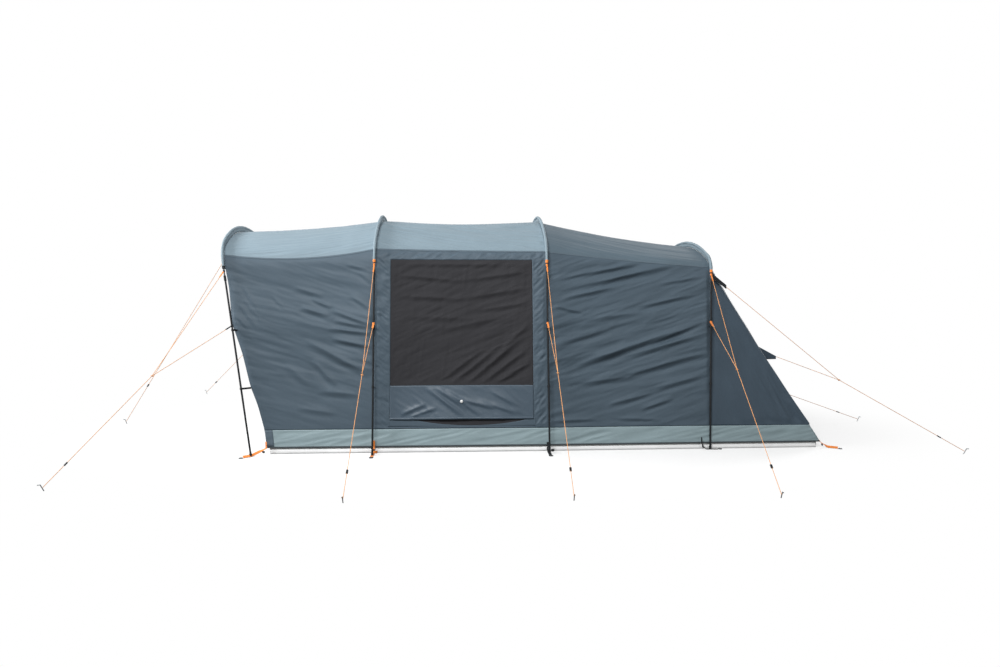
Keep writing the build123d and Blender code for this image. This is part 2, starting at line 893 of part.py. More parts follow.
@dataclass
class Guy:
    peg: Peg
    tops: list  # ends of the tabs that the guy hangs from
    link: bool

    def ends(self):
        """Lower and upper end of the line to the peg."""
        turn = self.peg.axis().get_angle(self.peg.link - self.peg.hold())
        clear = clear_of_bar(peg_radius + line_gap, line_radius, turn)
        low = step(self.peg.hold(), self.peg.link, clear)
        if self.link:
            return low, step(self.peg.link, low, link_radius + line_gap)
        return low, self.tops[0]

    def lines(self):
        made = [straight_line(*self.ends())]
        if self.link:
            made += [straight_line(top, step(self.peg.link, top, link_radius + line_gap)) for top in self.tops]
        return made

    def link_solid(self):
        with BuildPart() as link:
            with Locations(self.peg.link):
                Sphere(link_radius)
        return link.part

    def runner(self):
        low, high = self.ends()
        centre = low + (high - low) * runner_place
        along = (high - low).normalized()
        with BuildPart() as runner:
            with BuildSketch(Plane(origin=centre, x_dir=along.cross(Vector(0, 0, 1)), z_dir=along)):
                RectangleRounded(runner_width, runner_thickness, runner_thickness / 3)
                Circle(runner_hole, mode=Mode.SUBTRACT)
            extrude(amount=runner_length / 2, both=True)
        return runner.part


tabs = []


def tab_end(anchor, target, start, length=tab_length, flat=False):
    tabs.append(webbing_tab(anchor, target, start, length, flat))
    return step(anchor, target, start + length + line_gap)


def pole_tab_end(hoop, side, along, radius, target, length=tab_length):
    """End of a tab that starts just clear of a pole, whatever its slope to it."""
    across = leg_plane(hoop, side, along)
    turn = across.z_dir.get_angle(target - across.origin)
    clear = clear_of_bar(radius + tab_gap, tab_width / 2, turn)
    return tab_end(across.origin, target, clear, length)


def side_guy(hoop, side, link, place):
    tops = [
        pole_tab_end(hoop, side, hoop.leg_length() - upper_tab_drop, rod_radius, link),
        pole_tab_end(hoop, side, lower_tab_height, leg_radius, link),
    ]
    return Guy(Peg(place, link), tops, True)


near_guys = [
    side_guy(first, -1, Vector(-2510, -1500, 658), Vector(-3020, -1893)),
    side_guy(second, -1, Vector(-1128, -1500, 657), Vector(-1151, -2237)),
    side_guy(third, -1, Vector(202, -1500, 664), Vector(200, -2256)),
    side_guy(fourth, -1, Vector(1471, -1450, 676), Vector(1444, -2268)),
]
far_guys = [
    side_guy(first, 1, Vector(-2640, 1620, 660), Vector(-3349, 2094)),
    side_guy(second, 1, Vector(-1128, 1500, 657), Vector(-1151, 2237)),
    side_guy(third, 1, Vector(202, 1500, 664), Vector(200, 2256)),
    side_guy(fourth, 1, Vector(1471, 1450, 676), Vector(1444, 2268)),
]

crown = first.plane().from_local_coords((0, first.height, 0))
front_peg = Peg(Vector(-3465, 293), crown)
front_top = tab_end(crown, front_peg.hold(), sleeve_radius + tab_thickness, flat=True)
front_guy = Guy(Peg(front_peg.place, front_top), [front_top], False)

tail_link = Vector(2490, -920, 525)
shoulder = fourth.leg_length() - upper_tab_drop
hood_corner = Vector(hood_edge.X + cloth, -hood_half, hood_edge.Y)
tail_tops = [
    pole_tab_end(fourth, -1, shoulder, rod_radius, tail_link, tail_strap_length),
    step(hood_corner, tail_link, 2 * cloth),
]
tail_guy = Guy(Peg(Vector(3312, -1217), tail_link), tail_tops, True)

panel_anchor = Vector(tail_surface_x(tail_tab_height), 0, tail_tab_height)
low_peg = Peg(Vector(3215, 106), panel_anchor)
low_top = tab_end(panel_anchor, low_peg.hold(), 2 * tab_thickness, flat=True)
low_guy = Guy(Peg(low_peg.place, low_top), [low_top], False)

end_guys = {"front": front_guy, "tail": tail_guy, "tail_low": low_guy}
guys = {f"near_{number}": guy for number, guy in enumerate(near_guys, 1)}
guys |= {f"far_{number}": guy for number, guy in enumerate(far_guys, 1)}
guys |= end_guys

save_group(tabs, "guy_tabs")
save_group([line for guy in near_guys for line in guy.lines()], "near_guy_lines")
save_group([line for guy in far_guys for line in guy.lines()], "far_guy_lines")
save_group([line for guy in end_guys.values() for line in guy.lines()], "end_guy_lines")
save_group([guy.link_solid() for guy in guys.values() if guy.link], "guy_links")
save_group([guy.peg.solid() for guy in guys.values()], "guy_pegs")
for name, guy in guys.items():
    save(guy.runner(), f"runner_{name}")
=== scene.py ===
import math

import bpy
import numpy as np
from mathutils import Matrix, Vector


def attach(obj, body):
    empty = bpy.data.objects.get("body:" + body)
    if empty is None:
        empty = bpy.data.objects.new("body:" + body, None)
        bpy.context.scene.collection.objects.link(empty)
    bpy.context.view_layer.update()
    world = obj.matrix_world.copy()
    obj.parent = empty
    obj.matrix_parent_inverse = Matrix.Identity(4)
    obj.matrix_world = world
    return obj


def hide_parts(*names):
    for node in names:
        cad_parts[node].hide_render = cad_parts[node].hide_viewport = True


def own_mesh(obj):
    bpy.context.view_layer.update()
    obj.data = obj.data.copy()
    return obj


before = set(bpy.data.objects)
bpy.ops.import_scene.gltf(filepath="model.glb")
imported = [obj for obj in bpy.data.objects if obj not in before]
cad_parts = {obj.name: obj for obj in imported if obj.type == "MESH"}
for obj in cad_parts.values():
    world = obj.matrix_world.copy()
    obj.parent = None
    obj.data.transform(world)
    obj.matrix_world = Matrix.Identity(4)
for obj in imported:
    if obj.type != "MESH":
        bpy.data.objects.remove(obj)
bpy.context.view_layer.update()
scene = bpy.context.scene
scene.view_settings.view_transform = "Standard"

# Camera at the photo's place, found from the pole feet, crowns and pegs
viewpoint = {
    "place": (-0.4809, -6.5386, 1.2849),  # metres
    "turn": 0.0565,  # radians towards the tail
    "dip": 0.0691,
    "roll": 0.00168,
    "lens": 26.82,
}
cameraData = bpy.data.cameras.new("sideCamera")
cameraData.lens = viewpoint["lens"]
camera = bpy.data.objects.new("sideCamera", cameraData)
camera.matrix_world = (
    Matrix.Translation(viewpoint["place"])
    @ Matrix.Rotation(-viewpoint["turn"], 4, "Z")
    @ Matrix.Rotation(math.pi / 2 - viewpoint["dip"], 4, "X")
    @ Matrix.Rotation(viewpoint["roll"], 4, "Z")
)
scene.collection.objects.link(camera)
scene.camera = camera
print("camera placed")


# Materials, with their patterns in millimetres
patterns = {"patch": 260, "crumple": 38, "drift": 60}
shine = ("Roughness", "Specular IOR Level", "Sheen Weight", "Metallic")
taffeta = (3.0, 0.25, 2.2, 0.05, 0.55, 0.2, 0.02)  # coated polyester; threads 0.25 mm apart, drawn at 3 mm to show
cloths = {  # colour, then thread, relief and crumple in mm, mottle, roughness, specular level, sheen
    "paleBlueTaffeta": ("#798A94", *taffeta),  # tight and slightly shiny, as all the taffetas
    "dimBlueTaffeta": ("#56656F", *taffeta),  # a darker copy of the pale roof cloth: painted shade on the rear roof
    "slateTaffeta": ("#495762", *taffeta),
    "darkSlateTaffeta": ("#42505C", *taffeta),
    "sleeveTaffeta": ("#7B8B94", *taffeta),
    "facingTaffeta": ("#55636D", *taffeta),
    "glossyTaffeta": ("#44525E", *taffeta[:4], 0.42, 0.3, 0.02),  # rubbed smooth, so its folds shine
    "greyOxford": ("#85989D", 4.0, 0.4, 2.2, 0.06, 0.6, 0.5, 0.1),  # heavier coated weave, a little duller
    "darkHemOxford": ("#3B4448", 4.0, 0.4, 1.0, 0.05, 0.7),  # the same weave in a dark dye
    "charcoalNetting": ("#333336", 4.0, 0.6, 1.2, 0.05, 0.9, 0.2),  # matte; its 1 mm holes are drawn at 4 mm to show
    "laminatedPolyethylene": ("#F4F5F5", 5.0, 0.3, 3.0, 0.06, 0.4),  # woven tape, laminated: crinkled and waxy
    "orangeWebbing": ("#E8842F", 2.0, 0.5, 0.6, 0.06, 0.7, 0.5, 0.2),  # polypropylene, ribs 2 mm apart across it
    "blackWebbing": ("#202326", 2.0, 0.5, 0.6, 0.06, 0.7, 0.2),
    "blackNylonZip": ("#222427", 3.0, 0.8, 0.2, 0.05, 0.6),  # coarse ribs on a dull tape
}
hardStuffs = {  # colour, drift of its tone, grit and relief in mm, roughness, specular level, sheen, metal
    "orangeBraid": ("#DD9A5C", 0.10, 3.0, 0.4, 0.65, 0.5, 0.2),  # polypropylene cord, pale where the fibres catch light
    "blackGlassFibre": ("#1D1F21", 0.15, 8.0, 0.08, 0.32),  # pultruded rod with a smooth gelled skin
    "powderCoatedSteel": ("#16191C", 0.10, 2.0, 0.10, 0.5, 0.2),  # baked powder, fine orange peel
    "blackAcetal": ("#17191B", 0.12, 1.5, 0.06, 0.45, 0.25),  # moulded plastic with a spark-eroded grain
    "zincSteel": ("#9A9C9E", 0.10, 4.0, 0.05, 0.35, 0.5, 0.0, 1.0),  # bright plating
    "chromedSteel": ("#B9BBBD", 0.05, 5.0, 0.03, 0.22, 0.5, 0.0, 1.0),  # mirror-like plating
    "galvanisedSteel": ("#8D9092", 0.14, 5.0, 0.08, 0.42, 0.5, 0.0, 1.0),  # dull mottled zinc
    "whiteEnamelStud": ("#E6E7E6", 0.03, 4.0, 0.03, 0.3),  # glossy cap
}


def linear(hexColour, gain=1.0):
    parts = [int(hexColour[i:i + 2], 16) / 255 for i in (1, 3, 5)]
    return tuple(gain * (c / 12.92 if c <= 0.04045 else ((c + 0.055) / 1.055) ** 2.4) for c in parts) + (1.0,)


def addNode(tree, kind, settings={}, links={}):
    node = tree.nodes.new(kind)
    for name, value in settings.items():
        if isinstance(name, int) or name in node.inputs:
            node.inputs[name].default_value = value
        else:
            setattr(node, name, value)
    for name, source in links.items():
        tree.links.new(source, node.inputs[name])
    return node


def bands(tree, flat, way, millimetres):  # a wave texture has 20 * scale radians to the metre
    scale = 2 * math.pi / (20 * millimetres / 1000)
    return addNode(tree, "ShaderNodeTexWave", {"bands_direction": way, "Scale": scale}, {"Vector": flat}).outputs["Fac"]


def noise(tree, place, millimetres, detail, **more):
    settings = {"Scale": 1000 / millimetres, "Detail": detail, **more}
    return addNode(tree, "ShaderNodeTexNoise", settings, {"Vector": place}).outputs["Fac"]


def bump(tree, strength, millimetres, **links):
    return addNode(tree, "ShaderNodeBump", {"Strength": strength, "Distance": millimetres / 1000}, links).outputs[0]


def mathOf(tree, operation, first, second, **more):
    return addNode(tree, "ShaderNodeMath", {"operation": operation, **more}, {0: first, 1: second}).outputs[0]


def blend(tree, share, first, second):
    return addNode(tree, "ShaderNodeMix", {"data_type": "RGBA", 6: first, 7: second}, {0: share}).outputs[2]


def newMaterial(name, colour, spread, pattern, sockets):  # the pattern gives the tone and the normal
    material = looks[name] = bpy.data.materials.new(name)
    material.use_nodes = True
    tree = material.node_tree
    shader = tree.nodes["Principled BSDF"].inputs
    for socket, value in zip(shine, sockets):
        shader[socket].default_value = value
    tone, normal = pattern(tree, addNode(tree, "ShaderNodeTexCoord").outputs["Object"])
    tree.links.new(blend(tree, tone, linear(colour, 1 - spread), linear(colour, 1 + spread)), shader["Base Color"])
    tree.links.new(normal, shader["Normal"])


def wovenCloth(name, colour, thread, relief, crumple, mottle, *sockets):
    def pattern(tree, place):  # threads cross along the cloth's length and width; the coating thins in soft patches
        flat = addNode(tree, "ShaderNodeUVMap").outputs[0]
        cross = mathOf(tree, "MULTIPLY", bands(tree, flat, "X", thread), bands(tree, flat, "Y", thread))
        patches = noise(tree, place, patterns["patch"], 4.0, Roughness=0.6)
        tone = addNode(tree, "ShaderNodeMapRange", {"From Min": 0.3, "From Max": 0.7}, {"Value": patches}).outputs[0]
        crumpled = bump(tree, 0.35, crumple, Height=noise(tree, place, patterns["crumple"], 3.0, Distortion=0.6))
        return tone, bump(tree, 0.4, relief, Height=cross, Normal=crumpled)
    newMaterial(name, colour, mottle, pattern, sockets)


def plainFinish(name, colour, spread, grit, relief, *sockets):
    def pattern(tree, place):  # the colour drifts a little and a fine grit breaks up the highlights
        rough = bump(tree, 0.3, relief, Height=noise(tree, place, grit, 2.0))
        return noise(tree, place, patterns["drift"], 3.0), rough
    newMaterial(name, colour, spread, pattern, sockets)


looks = {}
for name, details in cloths.items():
    wovenCloth(name, *details)
for name, details in hardStuffs.items():
    plainFinish(name, *details)
print("materials made")


# Guy lines: a peg line to a link, then two branches to the tabs
guyLines = {"thickness": 0.004, "lead": 0.024, "linkGap": 0.008}  # the lead is straight, six thicknesses long
guyRuns = {  # lower end and upper end of the peg line, then the link and the two tabs of a line that forks
    "near1": (
        (-3.02487, -1.89675, 0.02302), (-2.51453, -1.50349, 0.65241),
        (-2.51, -1.5, 0.658), (-2.2591, -0.8447, 1.3159), (-2.1978, -0.9268, 0.9286),
    ),
    "near2": (
        (-1.15119, -2.24311, 0.02266), (-1.12819, -1.50608, 0.65181),
        (-1.128, -1.5, 0.657), (-1.1178, -0.8525, 1.3597), (-1.1181, -0.9413, 0.9389),
    ),
    "near3": (
        (0.19998, -2.26211, 0.02262), (0.20198, -1.50612, 0.65885),
        (0.202, -1.5, 0.664), (0.2048, -0.8527, 1.36), (0.2047, -0.9414, 0.9395),
    ),
    "near4": (
        (1.4438, -2.2741, 0.02247), (1.47079, -1.45627, 0.67103),
        (1.471, -1.45, 0.676), (1.5042, -0.8223, 1.2932), (1.4917, -0.8859, 0.9447),
    ),
    "far1": (
        (-3.35407, 2.09739, 0.02231), (-2.64534, 1.62357, 0.65523),
        (-2.64, 1.62, 0.66), (-2.2644, 0.8453, 1.3226), (-2.2016, 0.9255, 0.9334),
    ),
}
for number in "234":  # these mirror the near side
    guyRuns["far" + number] = tuple((x, -y, z) for x, y, z in guyRuns["near" + number])
guyRuns["front"] = ((-3.47113, 0.29455, 0.02421), (-2.34486, 0.00941, 1.69012))
guyRuns["tail"] = (
    (3.31774, -1.21907, 0.02176), (2.49653, -0.92236, 0.52103),
    (2.49, -0.92, 0.525), (1.6236, -0.7878, 1.2473), (2.2082, -0.4051, 0.6578),
)
guyRuns["tailLow"] = ((3.22077, 0.10657, 0.02117), (2.20493, 0.00555, 0.38026))


def braid(name, places, order, thickness, node, closed=False):
    curve = bpy.data.curves.new(name, "CURVE")
    curve.dimensions = "3D"
    spline = curve.splines.new("NURBS")
    spline.points.add(len(places) - 1)
    for point, place in zip(spline.points, places):
        point.co = (*place, 1.0)
    spline.order_u = order
    spline.use_cyclic_u, spline.use_endpoint_u, curve.use_fill_caps = closed, not closed, not closed
    curve.bevel_depth = thickness / 2
    curve.bevel_resolution = 2
    curve.materials.append(looks["orangeBraid"])
    cord = bpy.data.objects.new(name, curve)
    scene.collection.objects.link(cord)
    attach(cord, "tent")
    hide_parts(node)
    return cord


def guyCord(name, start, end, node):
    start, end, thickness = Vector(start), Vector(end), guyLines["thickness"]
    lead = (end - start).normalized() * guyLines["lead"]
    cord = braid(name, (start, start + lead, end - lead, end), 3, thickness, node)


for name, (low, high, *fork) in guyRuns.items():
    node = {"nea": "near_guy_lines", "far": "far_guy_lines"}.get(name[:3], "end_guy_lines")
    guyCord(name + "PegLine", high, low, node)
    for number, top in enumerate(fork[1:], 1):
        link = Vector(fork[0])
        gap = (Vector(top) - link).normalized() * guyLines["linkGap"]
        guyCord(f"{name}Branch{number}", top, link + gap, node)
print("guy lines strung")


# The tunnel's skin: one outline at each hoop, hung between them with some sag
hoopKeys = ("x", "lean", "foot", "hem", "eave", "eaveHeight", "crown", "shoulder")  # metres, lean in degrees
tunnel = {
    "front": dict(zip(hoopKeys, (-1.9197, -12.85, 1.05, 0.965, 0.79, 1.42, 1.772, 0.29))),  # the front wall's edge
    "second": dict(zip(hoopKeys, (-1.117, 0.0, 1.05, 0.965, 0.795, 1.45, 1.843, 0.28))),
    "fourth": dict(zip(hoopKeys, (1.46, 2.0, 0.966, 0.945, 0.765, 1.38, 1.633, 0.15))),
}
tunnel["first"] = dict(tunnel["front"], x=-2.0, lean=-10.0)  # its pole stands in front of the wall
tunnel["third"] = dict(tunnel["second"], x=0.205)
hoops = [tunnel[name] for name in ("first", "second", "third", "fourth")]
skinFit = {
    "drop": 0.040,  # hoop line to cloth, at the hoops
    "middleDrop": 0.065,
    "hollow": 0.018,  # how far the walls draw in between hoops
    "hemHeight": 0.045,
    "skirtTop": 0.1755,
    "spacing": 0.008,  # of the meshes
    "hemAllowance": 0.02,  # on each flat size
    "leastFill": 0.31,  # of the flat rectangle by the cloth
    "frontEdge": {  # height: how far the front edge is drawn back, or forward to the pole
        0.0: 0.018, 0.055: 0.024, 0.17: 0.036, 0.365: 0.024, 0.50: 0.0, 0.75: -0.008,
        0.99: -0.040, 1.10: -0.020, 1.24: -0.003, 1.36: 0.0, 1.5: 0.0,
    },
    "seams": {  # height of the roof seam along each bay: at its front hoop, its middle and its rear hoop
        "front": (1.485, 1.462, 1.535), "middle": (1.535, 1.525, 1.520), "rear": (1.520, 1.455, 1.405),
    },
}
bothSides = ("near", "far")
acrossTent = np.array([1, -1, 1])  # mirrors points from the near side to the far side
eaveRow = 59  # the last point of an outline's wall, before its shoulder
outlineSteps = np.concatenate([np.linspace(0, 0.5, 60), np.linspace(0.5, 0.7, 40)[1:], np.linspace(0.7, 1, 60)[1:]])
shiftHeights = np.linspace(-0.1, 1.6, 341)
shiftValues = np.interp(shiftHeights, list(skinFit["frontEdge"]), list(skinFit["frontEdge"].values()))
shiftValues = np.convolve(np.pad(shiftValues, 8, "edge"), np.ones(17) / 17, "valid")  # eased over 80 mm


def unit(vectors):
    return vectors / np.maximum(np.linalg.norm(vectors, axis=-1, keepdims=True), 1e-9)


def smooth(value):
    value = np.clip(value, 0, 1)
    return value * value * (3 - 2 * value)


def hump(share):  # from 0 up to 1 at the middle and down again
    return 4 * share * (1 - share)


def steps(start, end, spacing=skinFit["spacing"]):
    return np.linspace(start, end, max(2, int(round(abs(end - start) / spacing)) + 1))


def grid(x, y, z):
    return np.stack(np.broadcast_arrays(x, y, z), -1)


def lengthsAlong(line):
    return np.concatenate([[0], np.cumsum(np.linalg.norm(np.diff(line, axis=0), axis=1))])


def placesAt(line, marks):
    return np.stack([np.interp(marks, lengthsAlong(line), line[:, k]) for k in range(line.shape[1])], 1)


def spread(line, count):  # evenly spaced along a line
    return placesAt(line, np.linspace(0, lengthsAlong(line)[-1], count))


def bothHalves(half, flip=acrossTent):  # the near half and its mirror, joined at the crown
    return np.concatenate([half, half[-2::-1] * flip])


def halfOutline(hoop, drop, hollow=0.0):  # near half, from the hem to the crown
    start = math.atan2(hoop["foot"] - hoop["eave"], hoop["eaveHeight"])
    startWay = np.array([math.cos(start), math.sin(start)])
    centre = np.array([hoop["eave"], hoop["eaveHeight"]]) - hoop["shoulder"] * startWay
    knee = math.pi / 2 - 2 * math.atan((hoop["crown"] - centre[1] - hoop["shoulder"]) / centre[0])
    radius = hoop["shoulder"] - drop
    hem = np.array([hoop["hem"], skinFit["hemHeight"] / math.cos(math.radians(hoop["lean"]))])
    share = np.linspace(0, 1, eaveRow + 1)[:, None]
    wall = hem + (centre + radius * startWay - hem) * share
    wall[:, 0] -= hollow * hump(share[:, 0])
    turn = np.linspace(start, knee, 40)[1:]
    shoulder = centre + radius * np.stack([np.cos(turn), np.sin(turn)], 1)
    rise = hoop["crown"] - drop - shoulder[-1, 1]
    big = (shoulder[-1, 0] ** 2 + rise ** 2) / (2 * rise)
    sweep = np.linspace(math.asin(shoulder[-1, 0] / big), 0, 60)[1:]
    top = np.stack([big * np.sin(sweep), hoop["crown"] - drop - big + big * np.cos(sweep)], 1)
    return np.concatenate([wall, shoulder, top])


def stood(hoop, outline):  # an outline in its hoop's leaning plane, as points on the near side
    lean = math.radians(hoop["lean"])
    return np.stack([hoop["x"] + outline[:, 1] * math.sin(lean), -outline[:, 0], outline[:, 1] * math.cos(lean)], 1)


def clothEdge(hoop):
    return stood(hoop, halfOutline(hoop, skinFit["drop"]))


bays = {}
bayHoops = [tunnel["front"], *hoops[1:]]
for bay, frontHoop, rearHoop in zip(("front", "middle", "rear"), bayHoops, bayHoops[1:]):
    middleHoop = {key: (frontHoop[key] + rearHoop[key]) / 2 for key in hoopKeys}
    middleEdge = stood(middleHoop, halfOutline(middleHoop, skinFit["middleDrop"], skinFit["hollow"]))
    bays[bay] = [clothEdge(frontHoop), middleEdge, clothEdge(rearHoop)]
frontEdge, sleeveEdge = bays["front"][0], clothEdge(tunnel["first"])  # the roof is sewn to the first sleeve
frontEdge[:eaveRow + 1] += np.linspace(0, 1, eaveRow + 1)[:, None] * (sleeveEdge[eaveRow] - frontEdge[eaveRow])
frontEdge[eaveRow + 1:] = sleeveEdge[eaveRow + 1:]


def alongBay(along, first, middle, last):  # a curve through three values
    return (1 - along) * (1 - 2 * along) * first + hump(along) * middle + along * (2 * along - 1) * last


def skin(bay, along, around):  # both from 0 to 1: front to rear, hem to crown
    stations = [
        np.stack([np.interp(around, outlineSteps, station[:, k]) for k in range(3)], -1) for station in bays[bay]
    ]
    points = alongBay(along[..., None], *stations)
    if bay == "front":
        points[..., 0] += np.interp(points[..., 2], shiftHeights, shiftValues) * (1 - along) ** 2
    return points


def aroundAt(bay, along, heights):  # how far round the outline rows of heights are
    around, samples = np.empty_like(heights), np.linspace(0, 1, 400)
    for column, share in enumerate(along):
        around[:, column] = np.interp(heights[:, column], skin(bay, np.full(400, share), samples)[:, 2], samples)
    return around


def skinAt(bay, along, heights):
    return skin(bay, np.broadcast_to(along, heights.shape), aroundAt(bay, along, heights))


def seamHeight(bay, along):
    return alongBay(along, *skinFit["seams"][bay])


def bayStart(bay):
    return bays[bay][0][0, 0]


def baySpan(bay):
    return bays[bay][2][0, 0] - bayStart(bay)


def outward(points):
    return unit(np.cross(np.gradient(points, axis=1), np.gradient(points, axis=0)))


def raised(points, lift):
    return points + outward(points) * np.asarray(lift)[..., None]


def ring(centre, right, rise, radius, count):
    turns = np.linspace(0, 2 * math.pi, count)[:, None]
    return centre + radius * (right * np.cos(turns) + rise * np.sin(turns))


def runs(points):  # metres along the rows and up the columns
    across = np.linalg.norm(np.diff(points, axis=1), axis=-1)
    upward = np.linalg.norm(np.diff(points, axis=0), axis=-1)
    return np.pad(np.cumsum(across, axis=1), ((0, 0), (1, 0))), np.pad(np.cumsum(upward, axis=0), ((1, 0), (0, 0)))


def uneven(u, v, seed):  # seeded soft noise, one cell to the unit
    table = np.random.default_rng(seed).uniform(-1, 1, (64, 64))
    left, low = np.floor(u).astype(int), np.floor(v).astype(int)
    fu, fv = smooth(u - left), smooth(v - low)
    lower, upper = (
        table[left % 64, (low + j) % 64] * (1 - fu) + table[(left + 1) % 64, (low + j) % 64] * fu for j in (0, 1)
    )
    return lower * (1 - fv) + upper * fv


def dragLines(u, v, slant, length, width, seed):  # long soft ripples that lean by slant degrees
    turn = math.radians(slant)
    along = (u * math.cos(turn) + v * math.sin(turn)) / length
    across = (v * math.cos(turn) - u * math.sin(turn)) / width
    return uneven(along + 7.3, across + 3.1, seed) + 0.5 * uneven(2 * along + 1.7, 2 * across + 9.2, seed + 1)


def crinkles(u, v, slant, length, width, seed):  # the same with sharp crests
    return 0.45 - np.abs(dragLines(u, v, slant, length, width, seed))


def foldLines(u, v, folds):  # start and end in cm, half width and height in mm: a sharp ridge with a valley beside it
    total = np.zeros_like(u)
    for *ends, width, height in folds:
        u0, v0, u1, v1 = np.array(ends) / 100
        run = math.hypot(u1 - u0, v1 - v0)
        along = ((u - u0) * (u1 - u0) + (v - v0) * (v1 - v0)) / run ** 2
        across = ((v - v0) * (u1 - u0) - (u - u0) * (v1 - v0)) / run / (width / 1000)
        ridge, valley = np.exp(0.25 - 1.25 * np.sqrt(across ** 2 + 0.04)), np.exp(-(across + 1.5) ** 2)
        total += height / 1000 * np.clip(1 - (2 * along - 1) ** 2, 0, None) * (ridge - 0.7 * valley)
    return total


def edgeFade(points, width):
    first, second = runs(points)
    edges = [first, first[:, -1:] - first, second, second[-1:] - second]
    return np.prod([smooth(edge / width) for edge in edges], axis=0)


def clothPiece(
    name, points, material, slot, nodes=(), body="tent", hole=None, mirrored=False,
    thickness=0.0008, held="stretched", declare=None, cut=None,
):
    if mirrored:
        points = points * acrossTent
    rows, columns = points.shape[:2]
    index = np.arange(rows * columns).reshape(rows, columns)
    corners = [index[:-1, :-1], index[:-1, 1:], index[1:, 1:], index[1:, :-1]]
    quads = np.stack(corners[::-1] if mirrored else corners, -1).reshape(-1, 4)
    if hole is not None:
        quads = quads[~hole.reshape(-1)]
    used, quads = np.unique(quads, return_inverse=True)
    quads = quads.reshape(-1, 4)
    places = points.reshape(-1, 3)[used]
    first, second = runs(points)
    flatPlaces = np.stack([first, second], -1).reshape(-1, 2)[used]
    mesh = bpy.data.meshes.new(name)
    mesh.from_pydata(places.tolist(), [], quads.tolist())
    layer = mesh.uv_layers.new(name="flat")
    vertexOf = np.empty(len(mesh.loops), int)
    mesh.loops.foreach_get("vertex_index", vertexOf)
    layer.data.foreach_set("uv", flatPlaces[vertexOf].reshape(-1))
    mesh.shade_smooth()
    mesh.materials.append(looks[material])
    piece = bpy.data.objects.new(name, mesh)
    scene.collection.objects.link(piece)
    if thickness:
        solid = piece.modifiers.new("thickness", "SOLIDIFY")
        solid.thickness, solid.offset = thickness, -1.0
    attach(piece, body)
    if nodes:
        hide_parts(*nodes)
    if declare or (nodes and declare is None):  # works out the flat size and cloth area of pieces with a node of their own, or when asked; they are not kept
        spans = places[quads]
        area = 0.5 * np.linalg.norm(np.cross(spans[:, 2] - spans[:, 0], spans[:, 3] - spans[:, 1]), axis=1).sum()
        longest = (first[:, -1].max(), second[-1].max())
        flat = cut or tuple(round(float(run) + skinFit["hemAllowance"], 3) for run in longest)
        whole = flat[0] * flat[1]
        area = float(min(max(area, skinFit["leastFill"] * whole), whole))
    return piece


def sidePiece(side, name, points, *details, **more):  # shaped on the near side
    return clothPiece(side + name, points, *details, mirrored=side == "far", **more)


# Roof panels and the tapes over their seams
roofs = {
    "ripple": (0.6, 0.050), "crinkle": (0.45, 0.030),  # length and width of each
    "fade": 0.04, "halfRows": 110, "tapeHalf": 0.006, "tapeStand": 0.0012,
    "bays": {  # slant in degrees, seed, height of the ripples and of the crinkles, cloth
        "front": (-7, 11, 0.0025, 0.0045, "paleBlueTaffeta"),
        "middle": (17, 12, 0.0035, 0.0075, "paleBlueTaffeta"),
        # the rear roof takes the darker copy of the roof cloth, which paints shade on it
        "rear": (9, 13, 0.0030, 0.0030, "dimBlueTaffeta"),
    },
}
for bay, (slant, seed, ripple, crinkle, cloth) in roofs["bays"].items():
    along = steps(0, 1, skinFit["spacing"] / (bays[bay][2][-1, 0] - bays[bay][0][-1, 0]))
    seam = seamHeight(bay, along)
    lowest = aroundAt(bay, along, seam[None])
    around = lowest + (1 - lowest) * np.linspace(0, 1, roofs["halfRows"])[:, None]
    points = bothHalves(skin(bay, np.broadcast_to(along, around.shape), around))
    u, v = runs(points)
    fromCrown = np.abs(v - v[-1:] / 2)
    lift = ripple * dragLines(u, fromCrown, slant, *roofs["ripple"], seed)
    lift = lift + crinkle * crinkles(u, fromCrown, slant, *roofs["crinkle"], seed + 6)
    points = raised(points, edgeFade(points, roofs["fade"]) * lift)
    clothPiece(bay + "RoofPanel", points, cloth, "roof_cloth", ["roof_" + bay])
    tape = skinAt(bay, along, seam + np.linspace(-roofs["tapeHalf"], roofs["tapeHalf"], 4)[:, None])
    tape = raised(tape, roofs["tapeStand"])
    for side in bothSides:
        sidePiece(side, bay.capitalize() + "SeamTape", tape, "facingTaffeta", "roof_cloth")
print("roof panels hung")


